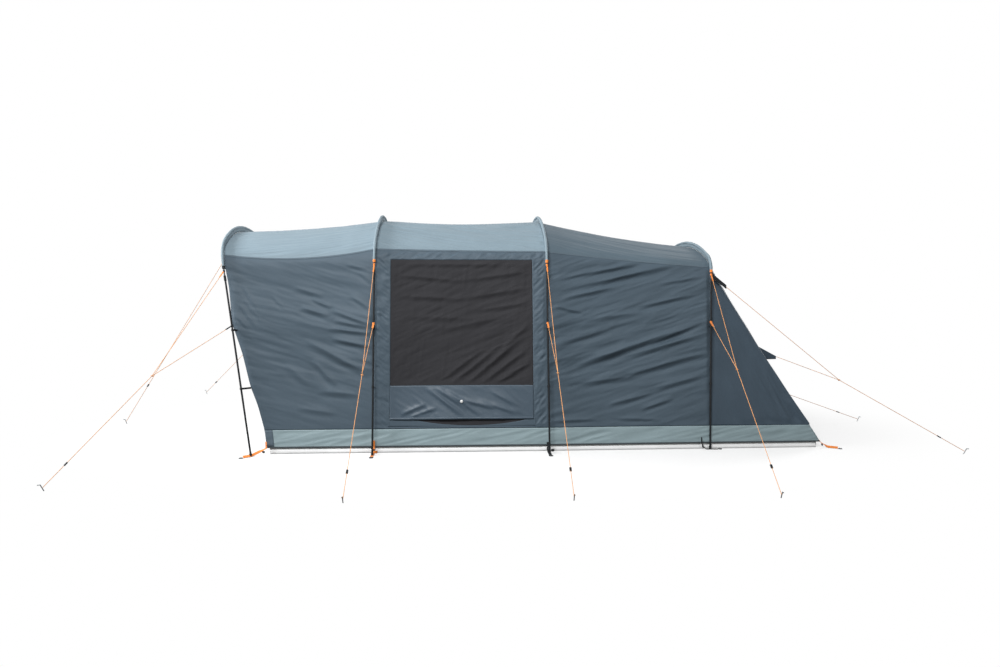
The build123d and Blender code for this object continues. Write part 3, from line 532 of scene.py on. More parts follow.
# Side walls
walls = {
    "bays": {  # slant in degrees, seed, height of the ripples and of the crinkles, gain of the folds
        "front": (-14, 21, 0.0036, 0.0030, 1.25),
        "middle": (30, 22, 0.0015, 0.0, 1.0),
        "rear": (14, 23, 0.0065, 0.0045, 1.1),
    },
    "ripple": (0.5, 0.055), "crinkle": (0.25, 0.034),  # length and width of each
    "steeper": 1.3, "crinkleSeed": 40, "farSeed": 100, "fade": 0.03, "rows": 165,  # the crinkles lean more
    "calm": (0.3, 0.4),  # drawn flatter by the skirt below this height, eased over the next stretch
    "beltHeight": 0.975,  # the cloth is drawn out a little where the lower clips hold it
    "belt": {"front": 0.022, "middle": 0.010, "rear": 0.020},
    "beltReach": (0.16, 0.22),  # above and below
    "folds": {  # start and end along the tunnel and in height, in cm, then half width and height in mm
        "front": [
            (-211, 125, -199, 105, 11, 6), (-214, 112, -200, 93, 11, 6), (-209, 114, -197, 98, 10, 5),
            (-215, 102, -206, 92, 10, 5), (-190, 118, -180, 108, 12, 5), (-168, 109, -146, 102, 20, 12),
            (-160, 116, -144, 108, 16, 10), (-172, 124, -150, 117, 20, 7), (-144, 107, -113, 95, 20, 14),
            (-142, 99, -113, 93, 18, 12), (-147, 93, -113, 89, 18, 12), (-144, 85, -114, 79, 20, 12),
            (-164, 84, -114, 58, 28, 14), (-158, 69, -140, 50, 24, 12), (-124, 136, -113, 127, 14, 8),
            (-130, 118, -115, 108, 16, 9), (-178, 66, -160, 50, 28, 7), (-155, 46, -120, 43, 24, 7),
            (-170, 34, -140, 29, 22, 5), (-134, 142, -116, 138, 16, 6),
        ],
        "middle": [],
        "rear": [
            (42, 64, 136, 95, 30, 20), (73, 68, 145, 89, 24, 16), (82, 56, 145, 74, 24, 16),
            (28, 121, 120, 142, 24, 14), (30, 131, 93, 143, 18, 12), (92, 109, 138, 119, 20, 14),
            (32, 116, 76, 125, 18, 10), (67, 34, 103, 43, 18, 10), (92, 30, 120, 39, 16, 10),
            (26, 110, 52, 104, 16, 10), (100, 80, 143, 97, 18, 14), (36, 50, 94, 56, 22, 9),
            (50, 100, 100, 105, 24, 8), (30, 82, 70, 92, 24, 8), (105, 46, 142, 56, 20, 10),
            (24, 22.5, 60, 23.5, 14, 7), (70, 24, 110, 22.5, 14, 7), (110, 127, 144, 133, 16, 8),
        ],
    },
}
window = {
    "left": -0.996, "right": 0.096, "bottom": 0.195, "top": 1.455, "rowsAbove": 9,
    "calm": 0.03,  # the wall lies calm this far along the window's edge
    "crimp": 0.0080, "crimpForm": (0.11, 0.026), "crimpStart": 0.025,  # gathers between the window and the hoops
}
net = {
    "ripple": 0.0022, "rippleForm": (35, 0.4, 0.05, 61),  # slant, length, width and seed
    "slanted": 0.0035, "slantedForm": (22, 0.25, 0.030, 63), "upright": 0.0020, "uprightForm": (84, 0.35, 0.045, 66),
    "fade": 0.04, "behind": 0.0012, "flatBelow": (0.50, 0.05),
    "folds": [  # diagonal, towards the lower front corner
        (-62, 53, -27, 78, 24, 12), (-56, 49, -12, 83, 24, 14), (-45, 48, 6, 90, 24, 14),
        (-34, 48, 9, 80, 22, 13), (-22, 49, 9, 68, 20, 11), (-16, 76, 9, 98, 22, 10),
        (-97, 134, -42, 129, 20, 9), (-48, 129, 8, 137, 20, 9), (-95, 118, -40, 115, 22, 9),
        (-46, 115, 9, 125, 22, 10), (-36, 106, 9, 113, 20, 9), (-90, 102, -30, 100, 24, 7),
        (-97, 142, 6, 142, 18, 6), (-70, 90, -10, 102, 26, 8), (-45.46, 46, -45.46, 150, 4, 3),
    ],
}
sill = {  # the strip under the flap, its upper edge dipping in the middle
    "ends": 0.256, "dip": 0.058, "deepest": -0.38, "reach": 0.47, "lap": 0.004, "stand": 0.0006, "columns": 2,
}


def beltLift(bay, heights):  # a soft crest, falling off faster above than below
    away = heights - walls["beltHeight"]
    return walls["belt"][bay] * np.exp(0.3 - np.sqrt((away / np.where(away > 0, *walls["beltReach"])) ** 2 + 0.09))


def wallShape(bay, points, side):
    slant, seed, ripple, crinkle, gain = walls["bays"][bay]
    u, v = points[..., 0], points[..., 2]
    lift = ripple * dragLines(u, v, slant, *walls["ripple"], seed + (walls["farSeed"] if side == "far" else 0))
    lift = lift + crinkle * crinkles(u, v, slant * walls["steeper"], *walls["crinkle"], seed + walls["crinkleSeed"])
    lift = lift * (0.5 + 0.5 * smooth((v - walls["calm"][0]) / walls["calm"][1]))
    if bay == "middle":
        before, behind, above = window["left"] - u, u - window["right"], v - window["top"]
        lift = lift * smooth(np.max([before, behind, window["bottom"] - v, above], axis=0) / window["calm"])
        for crimpSlant, clear, crimpSeed in ((44, behind, 27), (-40, before, 28), (25, above, 29)):
            crimps = crinkles(u, v, crimpSlant, *window["crimpForm"], crimpSeed)
            lift = lift + window["crimp"] * crimps * smooth(clear / window["crimpStart"])
    lift = lift + beltLift(bay, v) + gain * foldLines(u, v, walls["folds"][bay])
    return raised(points, edgeFade(points, walls["fade"]) * lift)


for bay in walls["bays"]:
    hole, fine = None, skinFit["spacing"] / baySpan(bay)
    if bay == "middle":  # a grid with lines along the window's edges
        left, right = ((window[edge] - bayStart(bay)) / baySpan(bay) for edge in ("left", "right"))
        parts = [steps(0, left, fine), steps(left, right, fine)[1:], steps(right, 1, fine)[1:]]
        along = np.concatenate(parts)
        levels = [steps(skinFit["skirtTop"], window["bottom"]), steps(window["bottom"], window["top"])[1:]]
        above = np.linspace(0, 1, window["rowsAbove"])[1:, None]
        heights = np.concatenate([
            np.concatenate(levels)[:, None] * np.ones(len(along)),
            window["top"] + (seamHeight(bay, along) - window["top"]) * above,
        ])
        firstRow, firstColumn = len(levels[0]) - 1, len(parts[0]) - 1
        lastRow, lastColumn = firstRow + len(levels[1]), firstColumn + len(parts[1])
        hole = np.zeros((len(heights) - 1, len(along) - 1), bool)
        hole[firstRow:lastRow, firstColumn:lastColumn] = True
    else:
        along = steps(0, 1, fine)
        share = np.linspace(0, 1, walls["rows"])[:, None]
        heights = skinFit["skirtTop"] + (seamHeight(bay, along) - skinFit["skirtTop"]) * share
    flatWall = skinAt(bay, along, heights)
    for side in bothSides:
        points, node = wallShape(bay, flatWall, side), f"{side}_wall_{bay}"
        sidePiece(side, bay.capitalize() + "Wall", points, "slateTaffeta", "wall_cloth", [node], hole=hole)
    if bay == "middle":
        inside = flatWall[firstRow:lastRow + 1, firstColumn:lastColumn + 1]
        u, v = inside[..., 0], inside[..., 2]
        lift = net["ripple"] * dragLines(u, v, *net["rippleForm"]) + foldLines(u, v, net["folds"])
        lift = lift + net["slanted"] * crinkles(u, v, *net["slantedForm"])
        lift = lift + net["upright"] * crinkles(u, v, *net["uprightForm"])
        lift = edgeFade(inside, net["fade"]) * lift * smooth((v - net["flatBelow"][0]) / net["flatBelow"][1])
        netPoints = raised(inside, lift + beltLift(bay, v) - net["behind"])
        across = along[firstColumn - sill["columns"]:lastColumn + sill["columns"] + 1]
        fromDeepest = (bayStart(bay) + baySpan(bay) * across - sill["deepest"]) / sill["reach"]
        sillTop = sill["ends"] - sill["dip"] * np.clip(1 - fromDeepest ** 2, 0, 1) ** 0.8
        sillLow = window["bottom"] - sill["lap"]
        sillPoints = skinAt(bay, across, sillLow + (sillTop - sillLow) * np.linspace(0, 1, 7)[:, None])
        sillPoints = raised(sillPoints, sill["stand"])
        for side in bothSides:
            sidePiece(side, "WindowNet", netPoints, "charcoalNetting", "mesh", [side + "_window"])
            sidePiece(side, "VentSill", sillPoints, "slateTaffeta", "wall_cloth")
print("walls and windows hung")


# Skirts along the hem, with a dark bound edge
skirts = {
    "low": 0.045, "high": 0.175, "rows": 16, "spacing": 0.012, "tailColumns": 70,
    "hemCorner": (2.344, 0.938), "topCorner": (2.262, 0.921),  # the tail's corner: along the tent and half across
    "ripple": 0.0055, "rippleForm": (12, 0.35, 0.035, 31),  # slant, length, width and seed
    "binding": (0.0445, 0.055), "facing": (0.056, 0.175), "facingWidth": 0.052, "stand": 0.0012,
    "rearInset": 0.004, "rearGrid": (12, 150), "rearRipple": 0.003, "rearForm": (55, 0.16, 0.05, 33), "rearFade": 0.03,
}


def tailCorner(heights):
    share = (heights - skirts["low"]) / (skirts["high"] - skirts["low"])
    return [hem + (top - hem) * share for hem, top in zip(skirts["hemCorner"], skirts["topCorner"])]


def skirtStrip(low, high, rows, offset=0.0):
    levels, pieces = np.linspace(low, high, rows), []
    for bay in bays:
        along = steps(0, 1, skirts["spacing"] / baySpan(bay))
        pieces.append(skinAt(bay, along, levels[:, None] * np.ones(len(along))))
    x, half = tailCorner(levels)
    share = np.linspace(0, 1, skirts["tailColumns"])[None, :, None]
    pieces.append(pieces[-1][:, -1:] * (1 - share) + grid(x, -half, levels)[:, None] * share)
    points = np.concatenate([pieces[0], *[piece[:, 1:] for piece in pieces[1:]]], axis=1)
    up = runs(points)[1]
    ripples = skirts["ripple"] * crinkles(points[..., 0], points[..., 2], *skirts["rippleForm"])
    return raised(points, ripples * smooth(up / 0.03) * smooth((up[-1:] - up) / 0.02) + offset)  # flat at both edges


skirt = skirtStrip(skirts["low"], skirts["high"], skirts["rows"])
binding = skirtStrip(*skirts["binding"], 3, skirts["stand"])
facing = skirtStrip(*skirts["facing"], 10, skirts["stand"])
facing = facing[:, :int(np.argmin(np.abs(facing[0, :, 0] - facing[0, 0, 0] - skirts["facingWidth"]))) + 1]
for side in bothSides:
    sidePiece(side, "Skirt", skirt, "greyOxford", "skirt_cloth", [side + "_skirt"])
    sidePiece(side, "SkirtBinding", binding, "darkHemOxford", "skirt_cloth", declare=True)
    sidePiece(side, "SkirtFacing", facing, "facingTaffeta", "skirt_cloth")
levels = np.linspace(skirts["low"], skirts["high"], skirts["rearGrid"][0])[:, None]
across = np.linspace(-1, 1, skirts["rearGrid"][1])
x, half = tailCorner(levels)
points = grid(x, (half - skirts["rearInset"]) * across, levels)
ripples = skirts["rearRipple"] * dragLines(points[..., 1], points[..., 2], *skirts["rearForm"])
points = raised(points, ripples * edgeFade(points, skirts["rearFade"]))
clothPiece("rearSkirt", points, "greyOxford", "skirt_cloth", ["rear_skirt"])
print("skirts hung")


# Pole sleeves: a tube of cloth round each rod, with a fin down to the roof
sleeves = {
    "tube": 0.0098, "start": 0.015, "spacing": 0.012, "puckered": -0.012,
    "fin": [(0.0016, -0.0385), (0.0016, -0.024), (0.003, -0.014)],  # half thickness and depth, up to the tube
    "sweep": (-62, 242, 17),  # degrees round the tube, and points
    "pucker": 0.0012, "puckerLength": 0.035, "sway": 0.004, "swayLength": 0.09,
    "inside": (0, 0.8),  # a place below every hoop
}
for number, hoop in enumerate(hoops, 1):
    line = halfOutline(hoop, 0.0)[eaveRow:]
    legWay = unit(line[0] - np.array([hoop["foot"], 0.0]))
    line = bothHalves(np.concatenate([[line[0] - legWay * sleeves["start"]], line]), np.array([-1, 1]))
    marks = steps(0, lengthsAlong(line)[-1], sleeves["spacing"])
    line = placesAt(line, marks)
    forward = unit(np.gradient(line, axis=0))
    out = np.stack([forward[:, 1], -forward[:, 0]], 1)
    out *= np.sign((out * (line - np.array(sleeves["inside"]))).sum(1))[:, None]
    lean = math.radians(hoop["lean"])
    thickWay = np.array([math.cos(lean), 0, -math.sin(lean)])
    turns, radius = np.radians(np.linspace(*sleeves["sweep"])), sleeves["tube"]
    tube = [(radius * math.cos(turn), radius * math.sin(turn)) for turn in turns]
    pucker = 1 + sleeves["pucker"] / radius * uneven(marks / sleeves["puckerLength"], marks * 0, 40 + number)
    sway = sleeves["sway"] * uneven(marks / sleeves["swayLength"], marks * 0 + 5, 50 + number)
    columns = []
    for aside, rise in sleeves["fin"] + tube + [(-aside, rise) for aside, rise in sleeves["fin"][::-1]]:
        swell = pucker if rise > sleeves["puckered"] else np.ones_like(marks)
        wave = sway * hump(np.clip(rise / sleeves["fin"][0][1], 0, 1))
        columns.append(stood(hoop, line + out * (rise * swell)[:, None]) + thickWay * (aside * swell + wave)[:, None])
    clothPiece(f"hoopSleeve{number}", np.stack(columns), "sleeveTaffeta", "sleeve_cloth", ["pole_sleeves"])
print("pole sleeves sewn")


# Vent flaps under the windows, flat at their ends and standing off in the middle, each with a press stud
flaps = {
    "top": 0.497, "drop": 0.255, "rows": 30, "spacing": 0.009, "stand": 0.0026, "lift": 0.016,
    "waves": 6, "wave": 0.0036, "hemRows": 3, "hemStand": 0.0012, "hemThickness": 0.0018,
    "crease": 0.003, "creaseForm": (-38, 0.18, 0.035), "seeds": {"near": 71, "far": 72}, "deepest": -0.001, "gain": 1.8,
    "folds": [
        (-74, 49, -44, 27, 20, 8), (-66, 49, -40, 30, 16, 8), (-58, 46, -30, 27, 18, 8),
        (-48, 40, -18, 31, 18, 7), (-92, 28, -72, 36, 18, 6), (-86, 26, -64, 33, 16, 6),
        (-26, 46, -2, 34, 18, 4), (-34, 38, 0, 28, 18, 5),
    ],
}
studs = {
    "place": (-0.456, 0.372), "stand": 0.0006,
    "profile": [(0.0118, 0.0), (0.0112, 0.0016), (0.009, 0.0032), (0.006, 0.0040), (0.0, 0.0042)],  # radius and rise
}
down = 1 - np.linspace(0, 1, flaps["rows"])[:, None]
xs = steps(window["left"], window["right"], flaps["spacing"])
share = (xs - window["left"]) / (window["right"] - window["left"])
heights = flaps["top"] - flaps["drop"] * down + 0 * xs
along = (xs - tunnel["second"]["x"]) / (tunnel["third"]["x"] - tunnel["second"]["x"])
base = skinAt("middle", along, heights)
u, v = base[..., 0], base[..., 2]
reach = np.clip(hump(share), 0, 1)
hung = flaps["lift"] * down ** 1.3 + flaps["wave"] * np.sin(math.pi * flaps["waves"] * share) * down
free = smooth(down / 0.12) * smooth(reach / 0.25)  # creased away from the seam and the ends
column, row = (int(np.argmin(np.abs(line - place))) for line, place in zip((xs, heights[:, 0]), studs["place"]))
for side in bothSides:
    creases = flaps["crease"] * dragLines(u, v, *flaps["creaseForm"], flaps["seeds"][side])
    creases = np.clip(creases + flaps["gain"] * foldLines(u, v, flaps["folds"]), flaps["deepest"], None)
    points = raised(base, flaps["stand"] + hung * reach + creases * free)
    body = side + "_flap"
    sidePiece(side, "VentFlap", points, "glossyTaffeta", "wall_cloth", [side + "_vent_flap"], body=body, held="hung")
    hem = raised(points, flaps["hemStand"])[:flaps["hemRows"]]
    sidePiece(side, "FlapHem", hem, "glossyTaffeta", "wall_cloth", body=body, thickness=flaps["hemThickness"])
    outWay = outward(points)[row, column]
    right = unit(np.cross([0, 0, 1], outWay))
    cap = np.stack([
        ring(points[row, column] + outWay * (rise + studs["stand"]), right, np.cross(outWay, right), radius, 25)
        for radius, rise in studs["profile"]
    ])
    sidePiece(side, "PressStud", cap, "whiteEnamelStud", "clip", body=body, thickness=0)
print("vent flaps hung")


# Front wall and its two door leaves
door = {
    "half": 0.560, "sill": 0.120, "spring": 1.100, "crown": 1.520, "gap": 0.0008, "zip": 0.0015, "edgePoints": 150,
    "ripple": 0.0055, "wallForm": (25, 0.4, 0.05, 81), "leafSlant": 65, "leafForm": (0.5, 0.06, 85),
    "wallFade": 0.05, "leafFade": 0.06, "wallCut": (1.93, 1.72),  # flat size in metres
    "tape": 0.012, "teeth": 0.0004, "stitch": 0.0007, "tapeEnd": 0.001,
}
frontLean = math.radians(tunnel["front"]["lean"])
frontFacing = np.array([-math.cos(frontLean), 0, math.sin(frontLean)])
doorRise = door["crown"] - door["spring"]
doorRadius = (door["half"] ** 2 + doorRise ** 2) / (2 * doorRise)


def onFront(u, v):
    return grid(tunnel["front"]["x"] + v * math.sin(frontLean), u, v * math.cos(frontLean))


lowest = skinFit["hemHeight"] / math.cos(frontLean)
turn = np.linspace(math.asin(door["half"] / doorRadius), 0, 60)
doorHalf = np.concatenate([
    np.stack([np.full(60, door["half"]), np.linspace(lowest, door["spring"], 60)], 1),
    np.stack([doorRadius * np.sin(turn), door["crown"] - doorRadius + doorRadius * np.cos(turn)], 1)[1:],
])
doorHalf = spread(doorHalf, door["edgePoints"])
doorEdge = onFront(-doorHalf[:, 0], doorHalf[:, 1])
sewnEdge = spread(skin("front", np.zeros(600), np.linspace(0, 1, 600)), door["edgePoints"])
share = np.linspace(0, 1, 24)[:, None, None]
nearHalf = doorEdge * (1 - share) + sewnEdge * share
points = np.concatenate([nearHalf, nearHalf[:, -2::-1] * acrossTent], axis=1)[:, ::-1]
ripples = door["ripple"] * dragLines(points[..., 1], points[..., 2], *door["wallForm"])
points = points + frontFacing * (ripples * edgeFade(points, door["wallFade"]))[..., None]
clothPiece("frontWall", points, "slateTaffeta", "wall_cloth", ["front_wall"], cut=door["wallCut"])
sillGrid = onFront(np.linspace(door["half"], -door["half"], 100), np.linspace(lowest, door["sill"], 8)[:, None])
clothPiece("doorSill", sillGrid, "greyOxford", "skirt_cloth")
for side, sign in (("near", -1), ("far", 1)):
    us = np.linspace(door["half"] - door["gap"], door["zip"], 50)[::sign] * sign
    tops = door["crown"] - doorRadius + np.sqrt(doorRadius ** 2 - us ** 2) - door["gap"]
    low = door["sill"] + door["gap"]
    vs = low + (tops - low) * np.linspace(0, 1, 120)[:, None]
    points = onFront(us, vs)
    ripples = door["ripple"] * dragLines(us + 0 * vs, vs, door["leafSlant"] * sign, *door["leafForm"])
    ripples = ripples * edgeFade(points, door["leafFade"]) * smooth((np.abs(us) - 0.03) / 0.08)  # flat beside the zip
    points = points + frontFacing * ripples[..., None]
    body = side + "_door"
    clothPiece(side + "DoorLeaf", points, "slateTaffeta", "wall_cloth", [body + "_leaf"], body=body, held="hung")
    tapeAcross = np.array([door["tape"], door["teeth"]])[::sign] * sign
    tapeRows = np.linspace(low, door["crown"] - door["gap"] - door["tapeEnd"], 120)[:, None]
    tape = onFront(tapeAcross, tapeRows) + frontFacing * door["stitch"]
    clothPiece(side + "ZipTape", tape, "blackNylonZip", "zip", body=body)
print("front wall and door hung")


# Tail: sloping panel with its netting vent, side gussets, and the hood over the vent
tail = {
    "x": 2.262, "half": 0.921, "low": 0.1875, "fade": 0.06, "columns": 170, "rows": 130,
    "sag": 0.010, "sagWay": (-0.836, 0.0, -0.548), "ripple": 0.0045, "panelForm": (62, 0.45, 0.07, 91),
    "flat": (0.41, 0.50, 0.84, 0.1),  # where the hood closes: half width, low, high, and the easing round it
}
gussets = {
    "rows": 90, "columns": 75, "rippleForm": (-60, 0.35, 0.06), "crinkle": 0.0060, "crinkleForm": (-62, 0.3, 0.045),
    "seeds": {"near": 95, "far": 97}, "pull": (1.75, 0.25, 0.85, 0.3),  # the corner strap's: from x on, below a height
}
vent = {
    "half": 0.38, "low": 0.61, "high": 0.78, "border": 0.022, "lap": 0.004,
    "netLap": 0.012, "netDepth": 0.004, "stand": 0.0045,
}
hood = {
    "hinge": 0.800, "half": 0.400, "reach": 0.300, "slope": 28.0, "lip": 0.025, "cheek": (2.085, 0.634), "belly": 0.010,
    "offset": (0.006, 0.003), "ripple": 0.003, "rippleForm": (70, 0.2, 0.05, 99), "fade": 0.05, "folded": 0.06,
}
sagWay = np.array(tail["sagWay"])
fourthEdge = clothEdge(tunnel["fourth"])
arch = spread(bothHalves(fourthEdge[eaveRow:]), tail["columns"])
lowLine = grid(tail["x"], tail["half"] * arch[:, 1] / abs(arch[0, 1]), tail["low"])
share = np.linspace(0, 1, tail["rows"])[:, None, None]
panel = lowLine * (1 - share) + arch * share
sideShare = smooth((np.abs(panel[..., 1]) / np.abs(panel[:, :1, 1]) - 0.45) / 0.55)
panel = panel + sagWay * (tail["sag"] * hump(share[..., 0]) * sideShare)[..., None]
flatHalf, flatLow, flatHigh, easing = tail["flat"]
y, z = panel[..., 1], panel[..., 2]
beyond = np.maximum(np.abs(y) - flatHalf, np.maximum(flatLow - z, z - flatHigh))
lift = tail["ripple"] * dragLines(y, z, *tail["panelForm"]) * smooth(beyond / easing)
panel = raised(panel, edgeFade(panel, tail["fade"]) * lift)
middle = (panel[:-1, :-1] + panel[1:, 1:]) / 2
ventHole = (np.abs(middle[..., 1]) < vent["half"]) & (middle[..., 2] > vent["low"]) & (middle[..., 2] < vent["high"])
clothPiece("tailPanel", panel, "darkSlateTaffeta", "tail_cloth", ["rear_panel"], hole=ventHole)

wallLine = fourthEdge[:eaveRow + 1]
heights = np.linspace(skinFit["skirtTop"], wallLine[-1, 2], gussets["rows"])
edge = np.stack([np.interp(heights, wallLine[:, 2], wallLine[:, k]) for k in range(3)], 1)
tip = grid(tail["x"], -tail["half"], np.linspace(skinFit["skirtTop"], tail["low"], gussets["rows"]))
share = np.linspace(0, 1, gussets["columns"])[None, :, None]
rowShare = np.linspace(0, 1, gussets["rows"])[:, None] ** 1.5
base = edge[:, None] * (1 - share) + tip[:, None] * share
base = base + sagWay * (tail["sag"] * hump(share[..., 0]) * rowShare)[..., None]
u, v = base[..., 0], base[..., 2]
pullX, easeX, pullHeight, easeHeight = gussets["pull"]
pull = smooth((u - pullX) / easeX) * smooth((pullHeight - v) / easeHeight)
for side, seed in gussets["seeds"].items():
    lift = gussets["crinkle"] * crinkles(u, v, *gussets["crinkleForm"], seed + 1) * (0.25 + pull)
    lift = lift + tail["ripple"] * dragLines(u, v, *gussets["rippleForm"], seed)
    points = raised(base, edgeFade(base, tail["fade"]) * lift)
    sidePiece(side, "TailGusset", points, "darkSlateTaffeta", "tail_cloth", [side + "_tail_gusset"])


def tailX(z):  # the tail's slope under the crown
    crown = fourthEdge[-1]
    return crown[0] + (tail["x"] - crown[0]) * (crown[2] - z) / (crown[2] - tail["low"])


def onTail(low, high, left, right, rows, columns, stand):
    zs = np.linspace(low, high, rows)[:, None]
    return grid(tailX(zs) + stand, np.linspace(left, right, columns), zs)


low, high, half, lap = vent["low"], vent["high"], vent["half"], vent["lap"]
netLap, border, wide = vent["netLap"], vent["border"], vent["half"] + vent["border"]
points = onTail(low - netLap, high + netLap, -half - netLap, half + netLap, 20, 72, -vent["netDepth"])
clothPiece("tailVentNet", points, "charcoalNetting", "mesh", ["rear_vent_mesh"])
for name, *extent in (
    ("Lower", low - border, low + lap, -wide, wide), ("Upper", high - lap, high + border, -wide, wide),
    ("Near", low, high, -wide, lap - half), ("Far", low, high, half - lap, wide),
):
    strip = onTail(*extent, 6, 40, vent["stand"])
    clothPiece("tailVentBinding" + name, strip, "facingTaffeta", "tail_cloth")

slope = math.radians(hood["slope"])
start = np.array([tailX(hood["hinge"]), hood["hinge"]]) + np.array(hood["offset"])
tip = start + hood["reach"] * np.array([math.cos(slope), -math.sin(slope)])
ys = np.linspace(-hood["half"], hood["half"], 80)
run = np.concatenate([np.linspace(0, hood["reach"], 30), np.full(4, hood["reach"])])[:, None]
fallen = np.concatenate([np.zeros(29), np.linspace(0, hood["lip"], 5)])[:, None]
belly = hood["belly"] * np.cos(math.pi * ys / (2 * hood["half"])) * np.sin(math.pi * np.clip(run / hood["reach"], 0, 1))
ripples = hood["ripple"] * dragLines(ys + 0 * run, run + 0 * ys, *hood["rippleForm"])
ripples = ripples * smooth(run / hood["fade"]) * smooth((hood["half"] - np.abs(ys)) / hood["fade"])
points = grid(
    start[0] + run * math.cos(slope) + belly * math.sin(slope), ys,
    start[1] - run * math.sin(slope) - fallen + belly * math.cos(slope) + ripples,
)
clothPiece("tailVentHood", points[::-1], "darkSlateTaffeta", "tail_cloth", ["rear_vent_hood"], body="vent_hood")
s = np.linspace(0, 1, 24)
upper = start + (tip - start) * s[:, None]
lower = [start, np.array(hood["cheek"]), tip - np.array([0, hood["lip"]])]
lower = np.stack([np.interp(s, [0, 0.55, 1], [place[k] for place in lower]) for k in (0, 1)], 1)
share = np.linspace(0, 1, 8)[:, None, None]
cheek = lower * (1 - share) + upper * share
cheek = grid(cheek[..., 0], -hood["half"], cheek[..., 1])
for side in bothSides:
    piece = sidePiece(side, "HoodCheek", cheek, "darkSlateTaffeta", "tail_cloth", body="vent_hood")
    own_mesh(piece)
print("tail hung")


# Groundsheet: a shallow tub with upright edges
groundsheet = {
    "low": 0.0012, "inset": 0.0045, "front": -1.884, "rear": 2.312, "spacing": 0.04, "columns": 49, "lip": 0.002,
    "stations": [-1.93, -1.117, 0.205, 1.46, 2.344], "halves": [0.965, 0.965, 0.965, 0.945, 0.938],  # along the hem
    "bend": (0.060, 0.012, 0.0035),  # heights of the edge from its rim in, turning up in a small bend
    "taper": 0.016 / 0.965, "crinkle": 0.0035, "cell": (0.17, 0.21), "seed": 111,
}
front, rear, lip, bend = (groundsheet[key] for key in ("front", "rear", "lip", "bend"))
rows = len(bend)
xs = np.concatenate([[front] * rows, steps(front + lip, rear - lip, groundsheet["spacing"]), [rear] * rows])
halfWidth = np.interp(xs, groundsheet["stations"], groundsheet["halves"]) - groundsheet["inset"]
share = np.concatenate([[-1] * rows, np.linspace(lip - 1, 1 - lip, groundsheet["columns"]), [1] * rows])[:, None]
points = grid(xs, halfWidth * share, groundsheet["low"])
cellX, cellY = groundsheet["cell"]
bumps = np.clip(uneven(points[..., 0] / cellX, points[..., 1] / cellY, groundsheet["seed"]), 0, None)
inside = slice(rows + 1, -rows - 1)
points[inside, inside, 2] += groundsheet["crinkle"] * bumps[inside, inside]
for step, height in reversed(list(enumerate(bend))):
    for line in (step, -1 - step):
        points[line, :, 2] = np.maximum(points[line, :, 2], height)
        points[:, line, 2] = np.maximum(points[:, line, 2], height)
points[[0, -1], :, 1] *= 1 - groundsheet["taper"]
clothPiece("groundsheetTub", points, "laminatedPolyethylene", "groundsheet_film", ["groundsheet"], held="laid")
print("groundsheet laid")


# Webbing: foot straps at the hem, tabs and loops on the poles
webbingForm = {"thickness": 0.0018, "spacing": 0.004, "eased": 3, "loopThickness": 0.0012}
straps = {
    "width": 0.024, "lean": 35, "looseEnd": 0.06, "bend": 0.046, "offHem": 0.0022, "offGround": 0.0012, "slack": 0.002,
    "places": [  # hem point, pole foot, height at the hem, share of the run off the ground, turn on edge
        ((-1.905, -0.977), (-2.0, -1.05), 0.095, 0.95, 1.0), ((-1.117, -0.965), (-1.117, -1.05), 0.095, 0.4, 0.0),
        ((0.205, -0.965), (0.205, -1.05), 0.070, 0.4, 0.0), ((1.390, -0.967), (1.46, -0.966), 0.095, 0.5, 0.0),
        ((2.338, -0.938), (2.404, -0.968), 0.058, 0.80, 1.0),
    ],
    "dark": (3, 4), "curled": (2, 3),  # numbers of the black ones, and of those with a loose end on the ground
}
curls = {
    "width": 0.018, "turns": (-0.3, 2.7, 24),  # radians, and points
    "low": 0.0105, "rise": 0.018, "aside": 0.016, "length": 0.020, "depth": 0.026,
}
tabs = {
    "Upper": {"width": 0.010, "radius": 0.0078}, "Lower": {"width": 0.014, "radius": 0.0092},
    "drop": 0.035, "along": 0.985,  # from the leg's top to the upper tab, and from its foot to the lower one
    "start": 0.009, "loopHalf": 0.008, "cuff": (-0.019, 0.004), "cuffRadius": 0.0108,
    "tailHeight": 0.4, "tailStand": 0.003,
}


def ribbonCount(path):
    return max(8, int(lengthsAlong(np.array(path))[-1] / webbingForm["spacing"]))


def ribbon(name, path, sideways, width, material, nodes=()):
    path = np.array(path, float)
    line = spread(path, ribbonCount(path))
    for _ in range(webbingForm["eased"]):
        line[1:-1] = (line[:-2] + 2 * line[1:-1] + line[2:]) / 4
    across = np.linspace(-width / 2, width / 2, 7)[None, :, None]
    points = line[:, None] + np.broadcast_to(np.array(sideways, float), line.shape)[:, None] * across
    clothPiece(name, points, material, "orange_webbing", nodes, thickness=webbingForm["thickness"], declare=False)


def legPoint(hoop, sign, alongLeg):
    foot, eave = np.array([hoop["foot"], 0]), np.array([hoop["eave"], hoop["eaveHeight"]])
    return stood(hoop, (foot + unit(eave - foot) * alongLeg)[None])[0] * np.array([1, -sign, 1])


def legLength(hoop):
    return math.hypot(hoop["foot"] - hoop["eave"], hoop["eaveHeight"])


def poleBand(name, hoop, sign, low, high, radius, material):  # a loop of webbing round a pole
    axis = unit(legPoint(hoop, sign, high) - legPoint(hoop, sign, low))
    right = unit(np.cross(axis, [1.0, 0, 0]))
    centres = [legPoint(hoop, sign, alongLeg) for alongLeg in np.linspace(low, high, 6)]
    rows = np.stack([ring(centre, right, np.cross(axis, right), radius, 21) for centre in centres])
    clothPiece(name, rows, material, "orange_webbing", thickness=webbingForm["loopThickness"])


